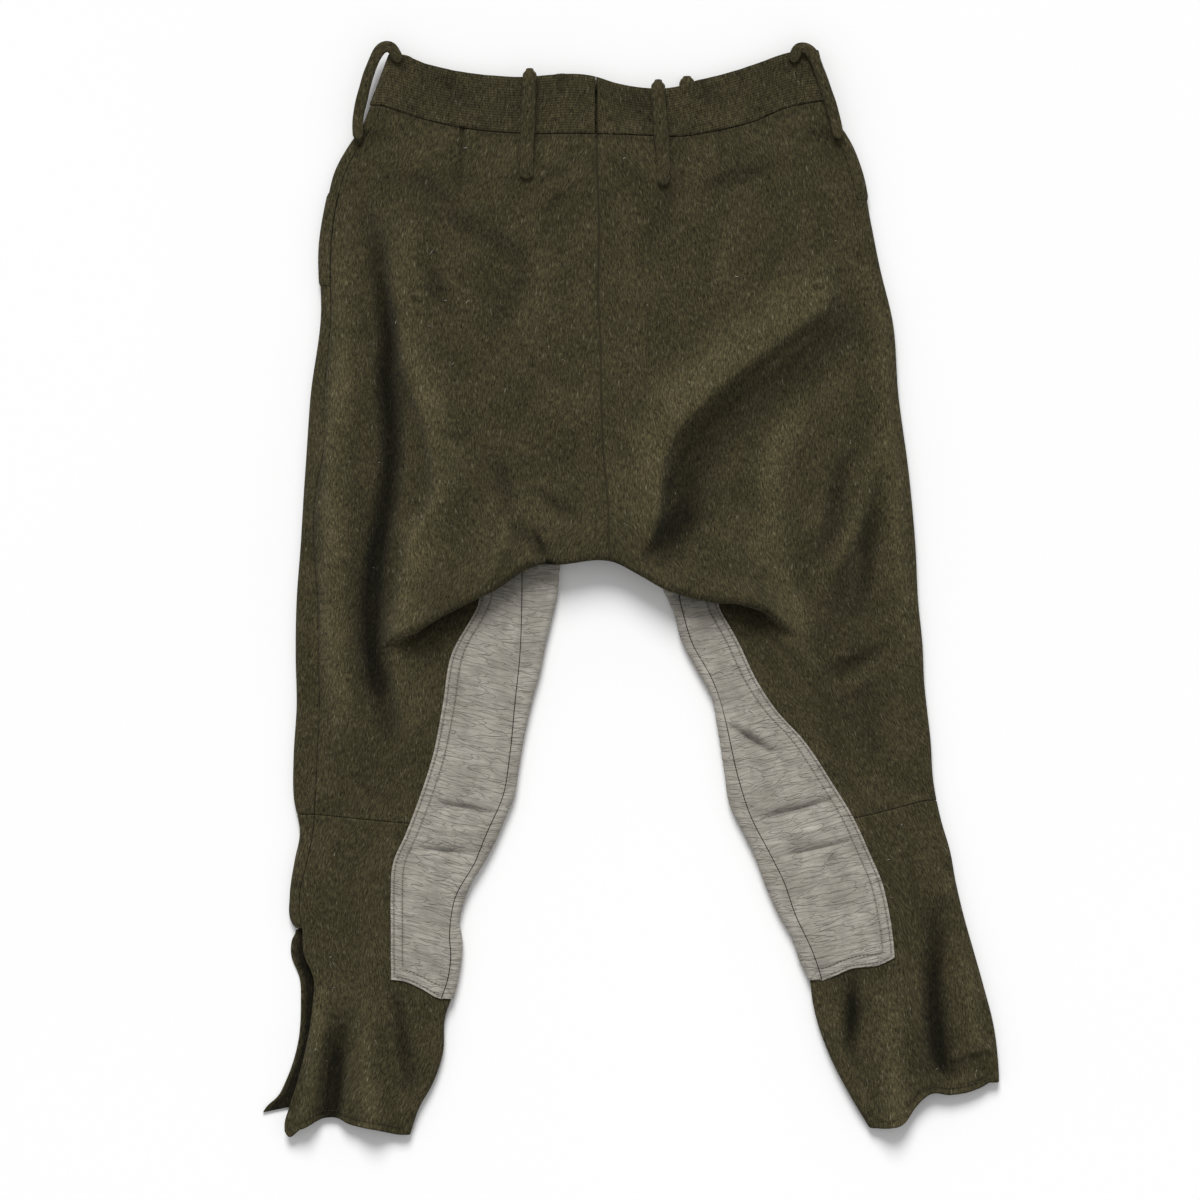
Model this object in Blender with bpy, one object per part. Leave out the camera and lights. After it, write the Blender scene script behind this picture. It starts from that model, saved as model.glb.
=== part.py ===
"""Riding breeches of heavy napped wool with grey knee strappings, laid flat with the back side up.

Metres, +Z up, +Y towards the waist, +X to the right as the back is seen. The breeches rest on
z = 0 and their plan is centred on the origin. One shell is worked out from short tables: a waist,
two torso halves, a seat pouch that folds over the thighs, and two legs. Every cut piece is a wall
over its own faces of that shell, so neighbours meet at a narrow seam gap.
"""
import math

import bpy
import numpy as np

# The tables below are read off the back view in photo pixels, x to the right and y down.
MM_PER_PIXEL = 0.865          # a waist of 394 mm laid flat over 455 pixels
VIEW_MIDDLE_X = 632.5
VIEW_MIDDLE_Y = 588.0

# Wall sizes in millimetres
WOOL = 2.0                    # thickness of the wool panels
BAND = 2.5                    # the waistband is two layers and a stiffener
STRAP = 1.2                   # thickness of the grey strappings
WELT = 1.4                    # thickness of the pocket edge
SEAM_GAP = 0.3                # gap between two pieces at a seam
CROTCH_EASE = 2.5             # the turned crotch seam takes this many times the gap
LAY_GAP = 0.3                 # gap under a piece that lies on another
FOLD_REACH = 5.0              # how far an edge fold reaches in from the outline
LOOP_WIDTH = 13.0
LOOP_THICK = 2.4
LOOP_STAND = 6.2              # how far a back loop stands off the waistband
EDGE_HEIGHT = 9.0             # height of the cloth just inside an edge fold
TORSO_HEIGHT = 17.0           # height of the laid seat away from its edges
LEG_HEIGHT = 12.5
BAND_HEIGHT = 11.5
BAND_FOOT = 140.0             # photo y above which the height doesn't fall at the edges
LOWEST_TOP = 6.6              # the top layer never comes lower than this
EDGE_SOFT = 34.0              # distance over which the height builds up from an edge
WAIST_LIFT = 2.7              # the front waist lies on its loops
FOLD_SHARE = 0.62             # an edge fold reaches in over this share of the seam's margin
FOLD_RISE = 1.0               # an edge fold's top stays within this of the cloth beside it
FLOOR_SOFTNESS = 1.2          # how sharply the top layer levels off at its lowest
WAIST_RISE = (110.0, 70.0)    # photo y where the seat starts to rise, and over how much
WAIST_CREASES = (138.0, 50.0)  # photo y where the folds start, and over how much
EDGE_CREASES = (6.0, 14.0)    # distances over which the folds fade at an edge

# The fold of the seat pouch over the thighs
POUCH_RADIUS = 3.8            # roll of the overhanging edge
POUCH_RADIUS_MIDDLE = 5.2     # roll of the edge between the legs
POUCH_BACK_RADIUS = 1.4       # turn back onto the thigh
POUCH_DEPTH = 10.0            # how far the roll runs under the seat
POUCH_STEP = 1.0              # straight bit between two rows of the roll
POUCH_FADE = 85.0             # how far up the seat the extra height reaches

# Rows and columns of the shell
BAND_ROWS = 3
TORSO_ROWS = 25
ROLL_ROWS = 7
THIGH_ROWS = 13
SHIN_ROWS = 10
HEM_ROWS = 8
WOOL_COLUMNS = 7              # side seam to strapping edge
STRAP_COLUMNS = 3             # strapping edge to inseam
BRIDGE_COLUMNS = 5            # inseam to centre back, over the crotch
FOLD_ANGLES = (90.0, 45.0, 0.0, -45.0, -90.0)
BACK_FOLDS = 4                # faces of the right side's fold that belong to the back
WELT_FOLDS = 3                # faces of a side's fold that the pocket edge covers
CORNER_ANGLE = 50             # edges sharper than this are drawn sharp

# Lines down the left half. Columns: y, outer edge, side seam, strapping edge, inseam
LEFT_LINES = (
    (50, 385, 396, 470, 530),
    (103, 371, 382, 468, 530),
    (128, 362, 373, 466, 529),
    (145, 350, 361, 466, 529),
    (170, 336, 347, 466, 528),
    (200, 328, 338, 466, 527),
    (240, 321, 332, 466, 526),
    (320, 321, 331, 466, 525),
    (395, 311, 325, 466, 524),
    (451, 307, 324, 468, 523),
    (495, 304, 316, 471, 522),
    (545, 301, 314, 476, 522),
    (599, 297, 318, 479, 522),
    (656, 296, 319, 451, 520),
    (704, 297, 320, 443, 515),
    (755, 294, 318, 433, 510),
    (796, 294, 316, 420, 503),
    (835, 300, 313, 405, 486),
    (860, 295, 308, 394, 476),
    (896, 290, 300, 391, 456),
    (928, 291, 301, 391, 450),
    (949, 291, 303, 391, 451),
    (979, 300, 314, 391, 448),
    (1003, 301, 313, 388, 440),
    (1047, 298, 306, 384, 434),
    (1090, 286, 295, 372, 421),
    (1108, 278, 289, 367, 412),
    (1122, 267, 280, 363, 406),
    (1132, 262, 276, 360, 402),
)
# Lines down the right half, with the same columns
RIGHT_LINES = (
    (50, 812, 801, 730, 662),
    (102, 820, 809, 728, 662),
    (125, 836, 825, 727, 663),
    (145, 850, 839, 726, 664),
    (170, 860, 849, 725, 665),
    (220, 870, 860, 724, 667),
    (270, 880, 870, 722, 669),
    (320, 892, 882, 720, 671),
    (395, 898, 888, 717, 673),
    (470, 908, 898, 714, 674),
    (545, 915, 905, 713, 674),
    (604, 918, 908, 719, 681),
    (643, 922, 912, 739, 692),
    (684, 924, 914, 759, 714),
    (712, 927, 917, 778, 723),
    (738, 930, 920, 802, 729),
    (781, 933, 923, 831, 739),
    (817, 940, 930, 853, 751),
    (852, 950, 940, 869, 769),
    (880, 955, 945, 881, 783),
    (914, 963, 953, 889, 795),
    (953, 974, 964, 894, 813),
    (985, 983, 973, 895, 823),
    (1024, 993, 983, 900, 830),
    (1065, 998, 988, 912, 845),
    (1127, 998, 988, 925, 880),
)
# Inner edge of each leg. Columns: y, x
LEFT_INNER = ((560, 559), (570, 558), (595, 556), (620, 550), (645, 544), (670, 539), (695, 532),
              (720, 526), (745, 521), (770, 517), (795, 513), (820, 503), (845, 492), (860, 484),
              (881, 471), (906, 461), (921, 458), (940, 461), (967, 459), (997, 452), (1014, 446),
              (1053, 443), (1085, 432), (1106, 420), (1132, 411))
RIGHT_INNER = ((580, 660), (590, 665), (615, 676), (638, 682), (669, 698), (697, 713), (722, 718),
               (773, 726), (804, 731), (835, 746), (858, 757), (880, 765), (914, 780), (937, 793),
               (960, 801), (978, 809), (999, 812), (1021, 817), (1065, 834), (1097, 851),
               (1127, 869))
# Centre back and centre front, columns: y, x
CENTRE = ((50, 596), (143, 596), (159, 596), (400, 600), (495, 606), (546, 608), (600, 608))

# Lines across the garment. Columns: x, y
BAND_TOP = ((372, 55), (399, 55), (427, 65), (462, 73), (510, 78), (596, 78), (615, 84), (635, 88),
            (676, 88), (699, 81), (717, 77), (750, 67), (788, 54), (825, 49))
WAIST_SEAM = ((355, 98), (371, 103), (392, 110), (427, 121), (462, 129), (510, 134), (596, 135),
              (650, 137), (673, 138), (717, 132), (755, 122), (786, 109), (815, 103), (830, 100))
POUCH_EDGE = ((290, 662), (355, 656), (391, 648), (402, 643), (433, 623), (479, 599), (497, 590),
              (522, 573), (537, 566), (560, 565), (615, 563), (640, 576), (665, 590), (682, 596),
              (713, 603), (739, 605), (764, 615), (777, 628), (830, 650), (920, 668))
KNEE_SEAM = ((290, 812), (314, 814), (410, 823), (520, 828), (700, 832), (760, 829), (857, 817),
             (935, 798), (950, 795))
STRAP_END = ((285, 972), (340, 975), (391, 979), (405, 981), (421, 988), (437, 997), (465, 998),
             (790, 982), (812, 981), (825, 979), (851, 968), (880, 964), (894, 957), (1000, 952))
HEM = ((266, 1124), (287, 1131), (302, 1128), (327, 1117), (336, 1117), (350, 1123), (375, 1128),
       (404, 1134), (420, 1131), (855, 1119), (871, 1126), (889, 1127), (905, 1121), (916, 1105),
       (928, 1094), (950, 1094), (973, 1090), (989, 1083), (1002, 1072))

# Where the pouch folds over. Columns: x, turn of the fold in degrees
POUCH_TURN = ((380, 0), (400, 70), (435, 150), (470, 178), (715, 178), (745, 150), (775, 70),
              (800, 0))
# Roll of the pouch edge. Columns: x, share of the way to the roll between the legs
POUCH_SWELL = ((525, 0.0), (560, 0.6), (590, 1.0), (625, 1.0), (655, 0.5), (680, 0.0))

FRONT_STRAP_WIDTH = 58.0      # pixels from the inner edge to the front strapping's edge
STRAP_RAMP = 12.0             # pixels over which the front panel rises onto its strapping
POUCH_SAG = 8.0               # the pouch sinks this much between the legs
CROTCH_TURN = (3.0, -4.0)     # bow of the crotch seam's turn onto the leg, up and in height
CROTCH_BAY = 16.0             # how far above the thigh's first row the front's corner lies
FRONT_WAIST_DROP = 3.0        # the front waist lies this much below the back's
PLACKET_TOP_Y = 928.0         # the left placket is open below this
PLACKET_LEAD = 12.0           # the flap leaves the edge fold this much lower
SOLVE_STEPS = 12              # steps that find where a column meets a row
START_Y = 600.0               # photo y from which those steps start
WELT_ROWS = {"left": (192.0, 285.0), "right": (128.0, 200.0)}
WAIST_LIFT_END = (185.0, 222.0)

# Main folds. Each: name, width to the left and to the right of the way the line runs (mm),
# then the line's points. Columns of the points: x, y, height in millimetres
FOLDS = (
    ("left_valley", 17, 13, ((356, 190, -1), (376, 250, -4), (383, 290, -7), (389, 340, -9),
                             (387, 375, -9), (390, 421, -10), (391, 462, -10), (382, 530, -10),
                             (374, 571, -9), (372, 639, -9), (376, 679, -9), (384, 715, -6),
                             (392, 755, 0))),
    ("left_outer_tube", 22, 24, ((338, 215, 0), (344, 290, 4), (344, 380, 8), (338, 460, 10),
                                 (336, 560, 10), (338, 640, 9), (345, 720, 6), (350, 800, 0))),
    ("left_seat_edge", 34, 12, ((379, 204, 0), (394, 242, 3), (396, 301, 6), (412, 375, 8),
                                (428, 421, 9), (440, 484, 10), (430, 515, 9), (414, 545, 8),
                                (404, 595, 7), (398, 640, 6), (400, 680, 6), (405, 735, 2),
                                (410, 770, 0))),
    ("left_pocket_ridge", 9, 9, ((409, 255, 0), (420, 291, 3), (434, 329, 0))),
    ("left_pocket_trough", 11, 11, ((428, 260, 0), (440, 296, -3), (452, 330, 0))),
    ("left_scoop", 17, 17, ((352, 184, 0), (416, 184, -2), (456, 224, -3), (512, 258, -3),
                            (520, 285, -3), (504, 325, -2), (480, 375, 0))),
    ("left_seat_crease", 9, 9, ((424, 435, 0), (450, 440, -2), (481, 443, 0))),
    ("left_dimple", 13, 13, ((490, 440, 0), (505, 490, -4), (513, 525, -5), (530, 545, -4),
                             (548, 556, 0))),
    ("left_dimple_ridge", 11, 11, ((524, 485, 0), (509, 530, 4), (494, 570, 4), (480, 600, 0))),
    ("left_crotch_trough", 11, 11, ((530, 486, 0), (556, 508, -4), (582, 529, 0))),
    ("centre_crease", 9, 9, ((536, 220, 0), (560, 204, -2), (584, 188, 0))),
    ("right_great_fold", 10, 52, ((838, 250, 0), (836, 280, 4), (830, 315, 7), (797, 340, 9),
                                  (760, 369, 10), (731, 394, 10), (693, 428, 10), (673, 454, 9),
                                  (665, 483, 8), (664, 515, 7), (655, 545, 4), (640, 560, 0))),
    ("right_great_shadow", 13, 13, ((840, 300, 0), (842, 335, -4), (800, 365, -4), (750, 400, -4),
                                    (710, 440, -5), (684, 480, -6), (676, 520, -6),
                                    (662, 548, -4), (640, 562, 0))),
    ("right_thigh_ridge", 25, 25, ((812, 385, 0), (788, 435, 6), (768, 477, 8), (774, 540, 8),
                                   (783, 591, 7), (795, 625, 6), (806, 663, 3), (818, 700, 0))),
    ("right_narrow_ridge", 12, 12, ((880, 440, 0), (869, 480, 5), (860, 511, 6), (845, 548, 6),
                                    (829, 577, 3), (812, 605, 0))),
    ("right_inner_valley", 12, 12, ((852, 450, 0), (840, 483, -5), (829, 535, -5), (818, 575, 0))),
    ("right_outer_valley", 12, 12, ((882, 505, 0), (870, 540, -5), (866, 590, -5), (860, 628, 0))),
    ("right_cross_trough", 12, 12, ((892, 647, 0), (856, 664, -4), (820, 682, 0))),
    ("right_cross_ridge", 12, 12, ((880, 672, 0), (856, 684, 3), (832, 694, 0))),
    ("right_hip_trough", 15, 15, ((684, 168, 0), (665, 215, -3), (646, 268, 0))),
    ("right_yoke_trough", 15, 15, ((812, 158, 0), (745, 180, -3), (676, 202, 0))),
    ("right_hip_ridge", 15, 15, ((725, 218, 0), (722, 270, 3), (719, 325, 0))),
    ("right_side_ridge", 20, 20, ((868, 255, 0), (882, 330, 4), (890, 430, 5), (899, 540, 5),
                                  (905, 640, 4), (908, 720, 0))),
    ("left_knee_crease", 8, 8, ((426, 802, 0), (465, 808, -2), (503, 815, 0))),
    ("left_shin_crease", 8, 8, ((411, 847, 0), (448, 850, -2), (485, 853, 0))),
    ("right_knee_crease", 8, 8, ((755, 819, 0), (798, 808, -2), (842, 797, 0))),
    ("right_shin_crease", 8, 8, ((768, 857, 0), (815, 847, -2), (862, 837, 0))),
    ("right_strap_fold", 9, 9, ((729, 725, 0), (752, 740, -2), (780, 757, 0))),
    ("left_calf_valley", 15, 15, ((341, 1020, 0), (337, 1050, -6), (335, 1080, -9),
                                  (331, 1110, -8), (329, 1130, -7))),
    ("left_calf_crease", 9, 9, ((395, 990, 0), (402, 1035, -5), (409, 1070, -4), (412, 1096, 0))),
    ("left_calf_outer", 13, 13, ((318, 950, 0), (322, 1000, 4), (316, 1060, 5), (304, 1125, 4))),
    ("left_calf_middle", 19, 19, ((362, 985, 0), (368, 1050, 5), (372, 1128, 6))),
    ("right_calf_crease", 9, 9, ((854, 970, 0), (853, 1000, -6), (850, 1030, -6), (846, 1058, 0))),
    ("right_calf_valley", 14, 14, ((934, 895, 0), (937, 931, -4), (932, 985, -7), (937, 1038, -8),
                                   (943, 1066, -6), (962, 1069, -3), (990, 1052, 0))),
    ("right_calf_middle", 21, 21, ((884, 975, 0), (890, 1040, 6), (892, 1120, 7))),
    ("right_calf_outer", 13, 13, ((958, 930, 0), (968, 985, 4), (976, 1040, 4), (984, 1062, 0))),
    ("right_calf_inner", 12, 12, ((828, 1000, 0), (840, 1055, 4), (862, 1108, 4))),
    ("right_calf_cross", 9, 9, ((940, 896, 0), (948, 888, 3), (958, 880, 0))),
)

BAND_EDGE = 88.0              # photo y of the waistband's edge at the back loops

# Belt loops as ribbons. Points: x, y, and the height over the cloth below, in millimetres
BACK_LOOPS = {
    "belt_loop_back_left": ((530, 97, 1.6), (530, 84, 2.2), (530, 75, 5.0), (530, 73, LOOP_STAND),
                            (530, 80, LOOP_STAND + 2), (529, 100, LOOP_STAND + 1.6),
                            (528, 130, LOOP_STAND + 0.8), (527, 155, 4.6), (527, 170, 2.2),
                            (527, 181, 1.6)),
    "belt_loop_back_right": ((658, 108, 1.6), (658, 96, 2.2), (658, 87, 5.0), (658, 84, LOOP_STAND),
                             (658, 92, LOOP_STAND + 2), (659, 110, LOOP_STAND + 1.6),
                             (661, 136, LOOP_STAND + 0.8), (663, 160, 4.6), (663, 176, 2.2),
                             (663, 187, 1.6)),
}
# The side loops stand out past the ends of the waistband. Points: x, y, height over the floor
SIDE_LOOPS = {
    "belt_loop_side_left": ((400, 64, 14.4), (392, 50, 16.0), (381, 52, 15.4), (371, 72, 14.6),
                            (364, 96, 14.6), (359, 120, 14.8), (359, 141, 14.6)),
    "belt_loop_side_right": ((792, 64, 14.4), (798, 51, 16.0), (810, 54, 15.4), (819, 74, 14.6),
                             (827, 97, 14.6), (834, 120, 14.8), (838, 140, 14.6)),
}
# The front loops lie under the waistband. Points: y, height over the floor
FRONT_LOOP_PATH = ((172, 1.28), (150, 1.28), (120, 1.28), (95, 1.28), (84, 1.3), (78, 2.6),
                   (77.5, 5.6))
FRONT_LOOPS = {"belt_loop_front_right": 687, "belt_loop_front_left": 494}
FRONT_LOOP_TOP = 85.0         # the paths above are for a waistband whose top is at this y

WOOL_COLOUR = (0.052, 0.042, 0.020)
STRAP_COLOUR = (0.32, 0.29, 0.255)


def mm_x(x):
    """Millimetres across from the middle for a photo x."""
    return (np.asarray(x, float) - VIEW_MIDDLE_X) * MM_PER_PIXEL


def mm_y(y):
    """Millimetres up from the middle for a photo y."""
    return (VIEW_MIDDLE_Y - np.asarray(y, float)) * MM_PER_PIXEL


def along(table, at, column=1):
    """Value of a table's column at a place in its first column."""
    keys = [row[0] for row in table]
    return np.interp(at, keys, [row[column] for row in table])


def smooth(t):
    """Ease from 0 to 1."""
    t = np.clip(t, 0.0, 1.0)
    return t * t * (3.0 - 2.0 * t)


def eased_path(points, steps):
    """Points of a smooth curve through a line's own points."""
    points = np.array(points, float)
    last = len(points) - 1
    eased = []
    for k in range(last):
        p0, p1 = points[max(k - 1, 0)], points[k]
        p2, p3 = points[k + 1], points[min(k + 2, last)]
        for s in np.arange(steps) / steps:
            eased.append(0.5 * (2 * p1 + (p2 - p0) * s + (2 * p0 - 5 * p1 + 4 * p2 - p3) * s ** 2
                                + (3 * p1 - p0 - 3 * p2 + p3) * s ** 3))
    eased.append(points[-1])
    return np.array(eased)


def fold_height(x, y):
    """Sum of the main folds at photo points, in millimetres."""
    total = np.zeros(np.broadcast(x, y).shape)
    for _name, wide_left, wide_right, points in FOLDS:
        points = eased_path(points, 3)
        best = np.full(total.shape, 1e9)
        value = np.zeros(total.shape)
        for start, end in zip(points[:-1], points[1:]):
            step = ((end[0] - start[0]) * MM_PER_PIXEL, (end[1] - start[1]) * MM_PER_PIXEL)
            off_x = (x - start[0]) * MM_PER_PIXEL
            off_y = (y - start[1]) * MM_PER_PIXEL
            length2 = step[0] ** 2 + step[1] ** 2
            t = np.clip((off_x * step[0] + off_y * step[1]) / length2, 0.0, 1.0)
            dx, dy = off_x - t * step[0], off_y - t * step[1]
            far = np.sqrt(dx * dx + dy * dy)
            # y runs down, so a positive turn is on the right of the way the line runs
            right = step[0] * dy - step[1] * dx > 0
            width = np.where(right, wide_right, wide_left)
            bell = np.where(far < width, 0.5 + 0.5 * np.cos(math.pi * far / width), 0.0)
            height = (start[2] + (end[2] - start[2]) * t) * bell
            value = np.where(far < best, height, value)
            best = np.minimum(best, far)
        total = total + value
    return total


def top_height(x, y, from_edge, down, leg):
    """Height of the top layer without the pouch.

    from_edge is the distance in millimetres to the nearest edge fold, down is the photo y, and
    leg is true on the legs.
    """
    waist = smooth((down - WAIST_RISE[0]) / WAIST_RISE[1])
    flat = BAND_HEIGHT + (TORSO_HEIGHT - BAND_HEIGHT) * waist
    if leg:
        flat = np.full(np.shape(waist), LEG_HEIGHT)
    rise = 1.0 - np.exp(-(np.maximum(from_edge, 0.0) / EDGE_SOFT) ** 2)
    base = EDGE_HEIGHT + (flat - EDGE_HEIGHT) * np.where(down < BAND_FOOT, 1.0, rise)
    fade = smooth((from_edge + EDGE_CREASES[0]) / EDGE_CREASES[1])
    fade = fade * smooth((down - WAIST_CREASES[0]) / WAIST_CREASES[1])
    height = base + fold_height(x, y) * fade
    # a soft floor keeps the two layers apart
    return LOWEST_TOP + np.logaddexp(0.0, (height - LOWEST_TOP) * FLOOR_SOFTNESS) / FLOOR_SOFTNESS


class Half:
    """One half of the garment: its lines, and the rings worked out from them."""

    def __init__(self, side, lines, inner, outward):
        self.side = side
        self.lines = lines
        self.inner = inner
        self.outward = outward      # +1 where the outer edge is at the larger x

    def line(self, column, y):
        """x of a named line at a photo y."""
        names = {"outer": 1, "seam": 2, "strap": 3, "inseam": 4}
        if column == "inner":
            return along(self.inner, y)
        if column == "centre":
            return along(CENTRE, y)
        return along(self.lines, y, names[column])

    def column_x(self, index, y):
        """x of a top column at a photo y, from the side seam to the inseam and the centre."""
        if index <= WOOL_COLUMNS:
            a, b, t = "seam", "strap", index / WOOL_COLUMNS
        elif index <= WOOL_COLUMNS + STRAP_COLUMNS:
            a, b, t = "strap", "inseam", (index - WOOL_COLUMNS) / STRAP_COLUMNS
        else:
            a, b = "inseam", "centre"
            t = (index - WOOL_COLUMNS - STRAP_COLUMNS) / BRIDGE_COLUMNS
        return (1.0 - t) * self.line(a, y) + t * self.line(b, y)

    def cross(self, index, guide, share, other):
        """Photo point where a column meets a row lying between two guides."""
        y = 0.5 * (along(guide, 500) + along(other, 500))
        x = 0.0
        for _step in range(SOLVE_STEPS):
            x = self.column_x(index, y)
            y = (1.0 - share) * along(guide, x) + share * along(other, x)
        return x, y

    def height(self, x, y, leg=False):
        """Height of the top layer at photo points without the pouch."""
        edge = np.abs(x - self.line("outer", y)) * MM_PER_PIXEL
        if leg:
            edge = np.minimum(edge, np.abs(x - self.line("inner", y)) * MM_PER_PIXEL)
        return top_height(x, y, edge - FOLD_REACH, y, leg)


LEFT = Half("left", LEFT_LINES, LEFT_INNER, -1)
RIGHT = Half("right", RIGHT_LINES, RIGHT_INNER, 1)


def pouch_path(x):
    """The fold of the pouch in a column: offsets up the seat and in height, row by row.

    Returns the rows' (up, z) from the first, and the whole drop in height.
    """
    turn = math.radians(float(along(POUCH_TURN, x)))
    swell = float(along(POUCH_SWELL, x))
    radius = POUCH_RADIUS + (POUCH_RADIUS_MIDDLE - POUCH_RADIUS) * swell
    depth = POUCH_DEPTH * max(0.0, -math.cos(turn)) * math.sin(turn / 2.0) ** 2
    points = [(0.0, 0.0)]
    angle = 0.0

    def go(length, bend):
        """Walk on along the cloth while it bends."""
        nonlocal angle
        middle = angle + bend / 2.0
        up, z = points[-1]
        points.append((up - math.cos(middle) * length, z - math.sin(middle) * length))
        angle += bend

    for _row in range(4):
        go(POUCH_STEP + radius * turn / 4.0, turn / 4.0)
    go(POUCH_STEP + depth, 0.0)
    for _row in range(2):
        go(POUCH_STEP + POUCH_BACK_RADIUS * turn / 2.0, -turn / 2.0)
    return np.array(points)


class Shell:
    """All points and faces of the laid garment, each face with the name of its piece."""

    def __init__(self):
        self.points = []
        self.index = {}
        self.faces = []
        self.labels = []
        self.tags = []
        self.eased = set()          # points of the crotch seam

    def point(self, x, y, z):
        """Index of a point in millimetres, shared where it is met again."""
        x, y, z = float(x), float(y), float(z)
        key = (round(x, 3), round(y, 3), round(z, 3))
        if key not in self.index:
            self.index[key] = len(self.points)
            self.points.append((x, y, z))
        return self.index[key]

    def face(self, corners, label, tag):
        """Add a face with its piece's name and its place on the garment."""
        kept = []
        for corner in corners:
            if corner not in kept:
                kept.append(corner)
        if len(kept) >= 3:
            self.faces.append(tuple(kept))
            self.labels.append(label)
            self.tags.append(tag)


def row_plan():
    """Rows down the garment: (kind, guide above, guide below, share)."""
    rows = []
    for k in range(BAND_ROWS):
        rows.append(("band", BAND_TOP, WAIST_SEAM, k / BAND_ROWS))
    for k in range(TORSO_ROWS):
        rows.append(("torso", WAIST_SEAM, None, k / TORSO_ROWS))
    for k in range(ROLL_ROWS):
        rows.append(("roll", None, None, k))
    for k in range(THIGH_ROWS):
        rows.append(("thigh", None, KNEE_SEAM, k / THIGH_ROWS))
    for k in range(SHIN_ROWS):
        rows.append(("shin", KNEE_SEAM, STRAP_END, k / SHIN_ROWS))
    for k in range(HEM_ROWS + 1):
        rows.append(("hem", STRAP_END, HEM, k / HEM_ROWS))
    return rows


ROWS = row_plan()
FIRST_ROLL = BAND_ROWS + TORSO_ROWS
FIRST_THIGH = FIRST_ROLL + ROLL_ROWS
FIRST_SHIN = FIRST_THIGH + THIGH_ROWS
FIRST_HEM = FIRST_SHIN + SHIN_ROWS
LEG_COLUMNS = WOOL_COLUMNS + STRAP_COLUMNS
TOP_COLUMNS = LEG_COLUMNS + BRIDGE_COLUMNS
BRIDGE_END = FIRST_ROLL + 5       # last row of the top between the legs


def top_points(half):
    """Top layer of a half: points[row][column] as (x mm, y mm, z mm) and photo y of each."""
    count = TOP_COLUMNS + 1
    grid = np.zeros((len(ROWS), count, 3))
    for c in range(count):
        # where the pouch's edge crosses this column
        x = half.column_x(c, START_Y)
        y = START_Y
        for _step in range(SOLVE_STEPS):
            y = along(POUCH_EDGE, x)
            x = half.column_x(c, y)
        path = pouch_path(x)
        edge = float(mm_y(y))
        start_y = edge - path[:, 0].min()
        first = VIEW_MIDDLE_Y - start_y / MM_PER_PIXEL
        last_y = start_y + path[-1, 0]
        last = VIEW_MIDDLE_Y - last_y / MM_PER_PIXEL
        swell = float(along(POUCH_SWELL, x))
        drop = path[0, 1] - path[-1, 1] - POUCH_SAG * swell
        high = float(half.height(x, first)) + drop
        low = float(half.height(x, last, True)) if c <= LEG_COLUMNS else high - drop
        for r, (kind, above, below, share) in enumerate(ROWS):
            if kind == "band":
                px, py = half.cross(c, above, share, below)
                z = half.height(px, py)
            elif kind == "torso":
                px, py = x, first
                for _step in range(SOLVE_STEPS):
                    px = half.column_x(c, py)
                    py = (1.0 - share) * along(above, px) + share * first
                up = (first - py) * MM_PER_PIXEL
                z = half.height(px, py) + drop * (1.0 - smooth(up / POUCH_FADE))
            elif kind == "roll":
                py = first
                px = half.column_x(c, y)
                z = high + path[share, 1] + (low - high + drop) * share / ROLL_ROWS
                grid[r, c] = (mm_x(px), start_y + path[share, 0], z)
                continue
            elif kind == "thigh":
                px, py = x, last
                for _step in range(SOLVE_STEPS):
                    px = half.column_x(c, py)
                    py = (1.0 - share) * last + share * along(below, px)
                z = half.height(px, py, True)
                # columns slide over to their place on the thigh
                slide = smooth(share * THIGH_ROWS / 2.0)
                px = half.column_x(c, y) * (1.0 - slide) + px * slide
            else:
                px, py = half.cross(c, above, share, below)
                z = half.height(px, py, True)
            grid[r, c] = (mm_x(px), mm_y(py), z)
    return grid


def photo_x(x_mm):
    """Photo x of a distance in millimetres across from the middle."""
    return VIEW_MIDDLE_X + x_mm / MM_PER_PIXEL


def photo_y(y_mm):
    """Photo y of a height in millimetres up from the middle."""
    return VIEW_MIDDLE_Y - y_mm / MM_PER_PIXEL


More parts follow.
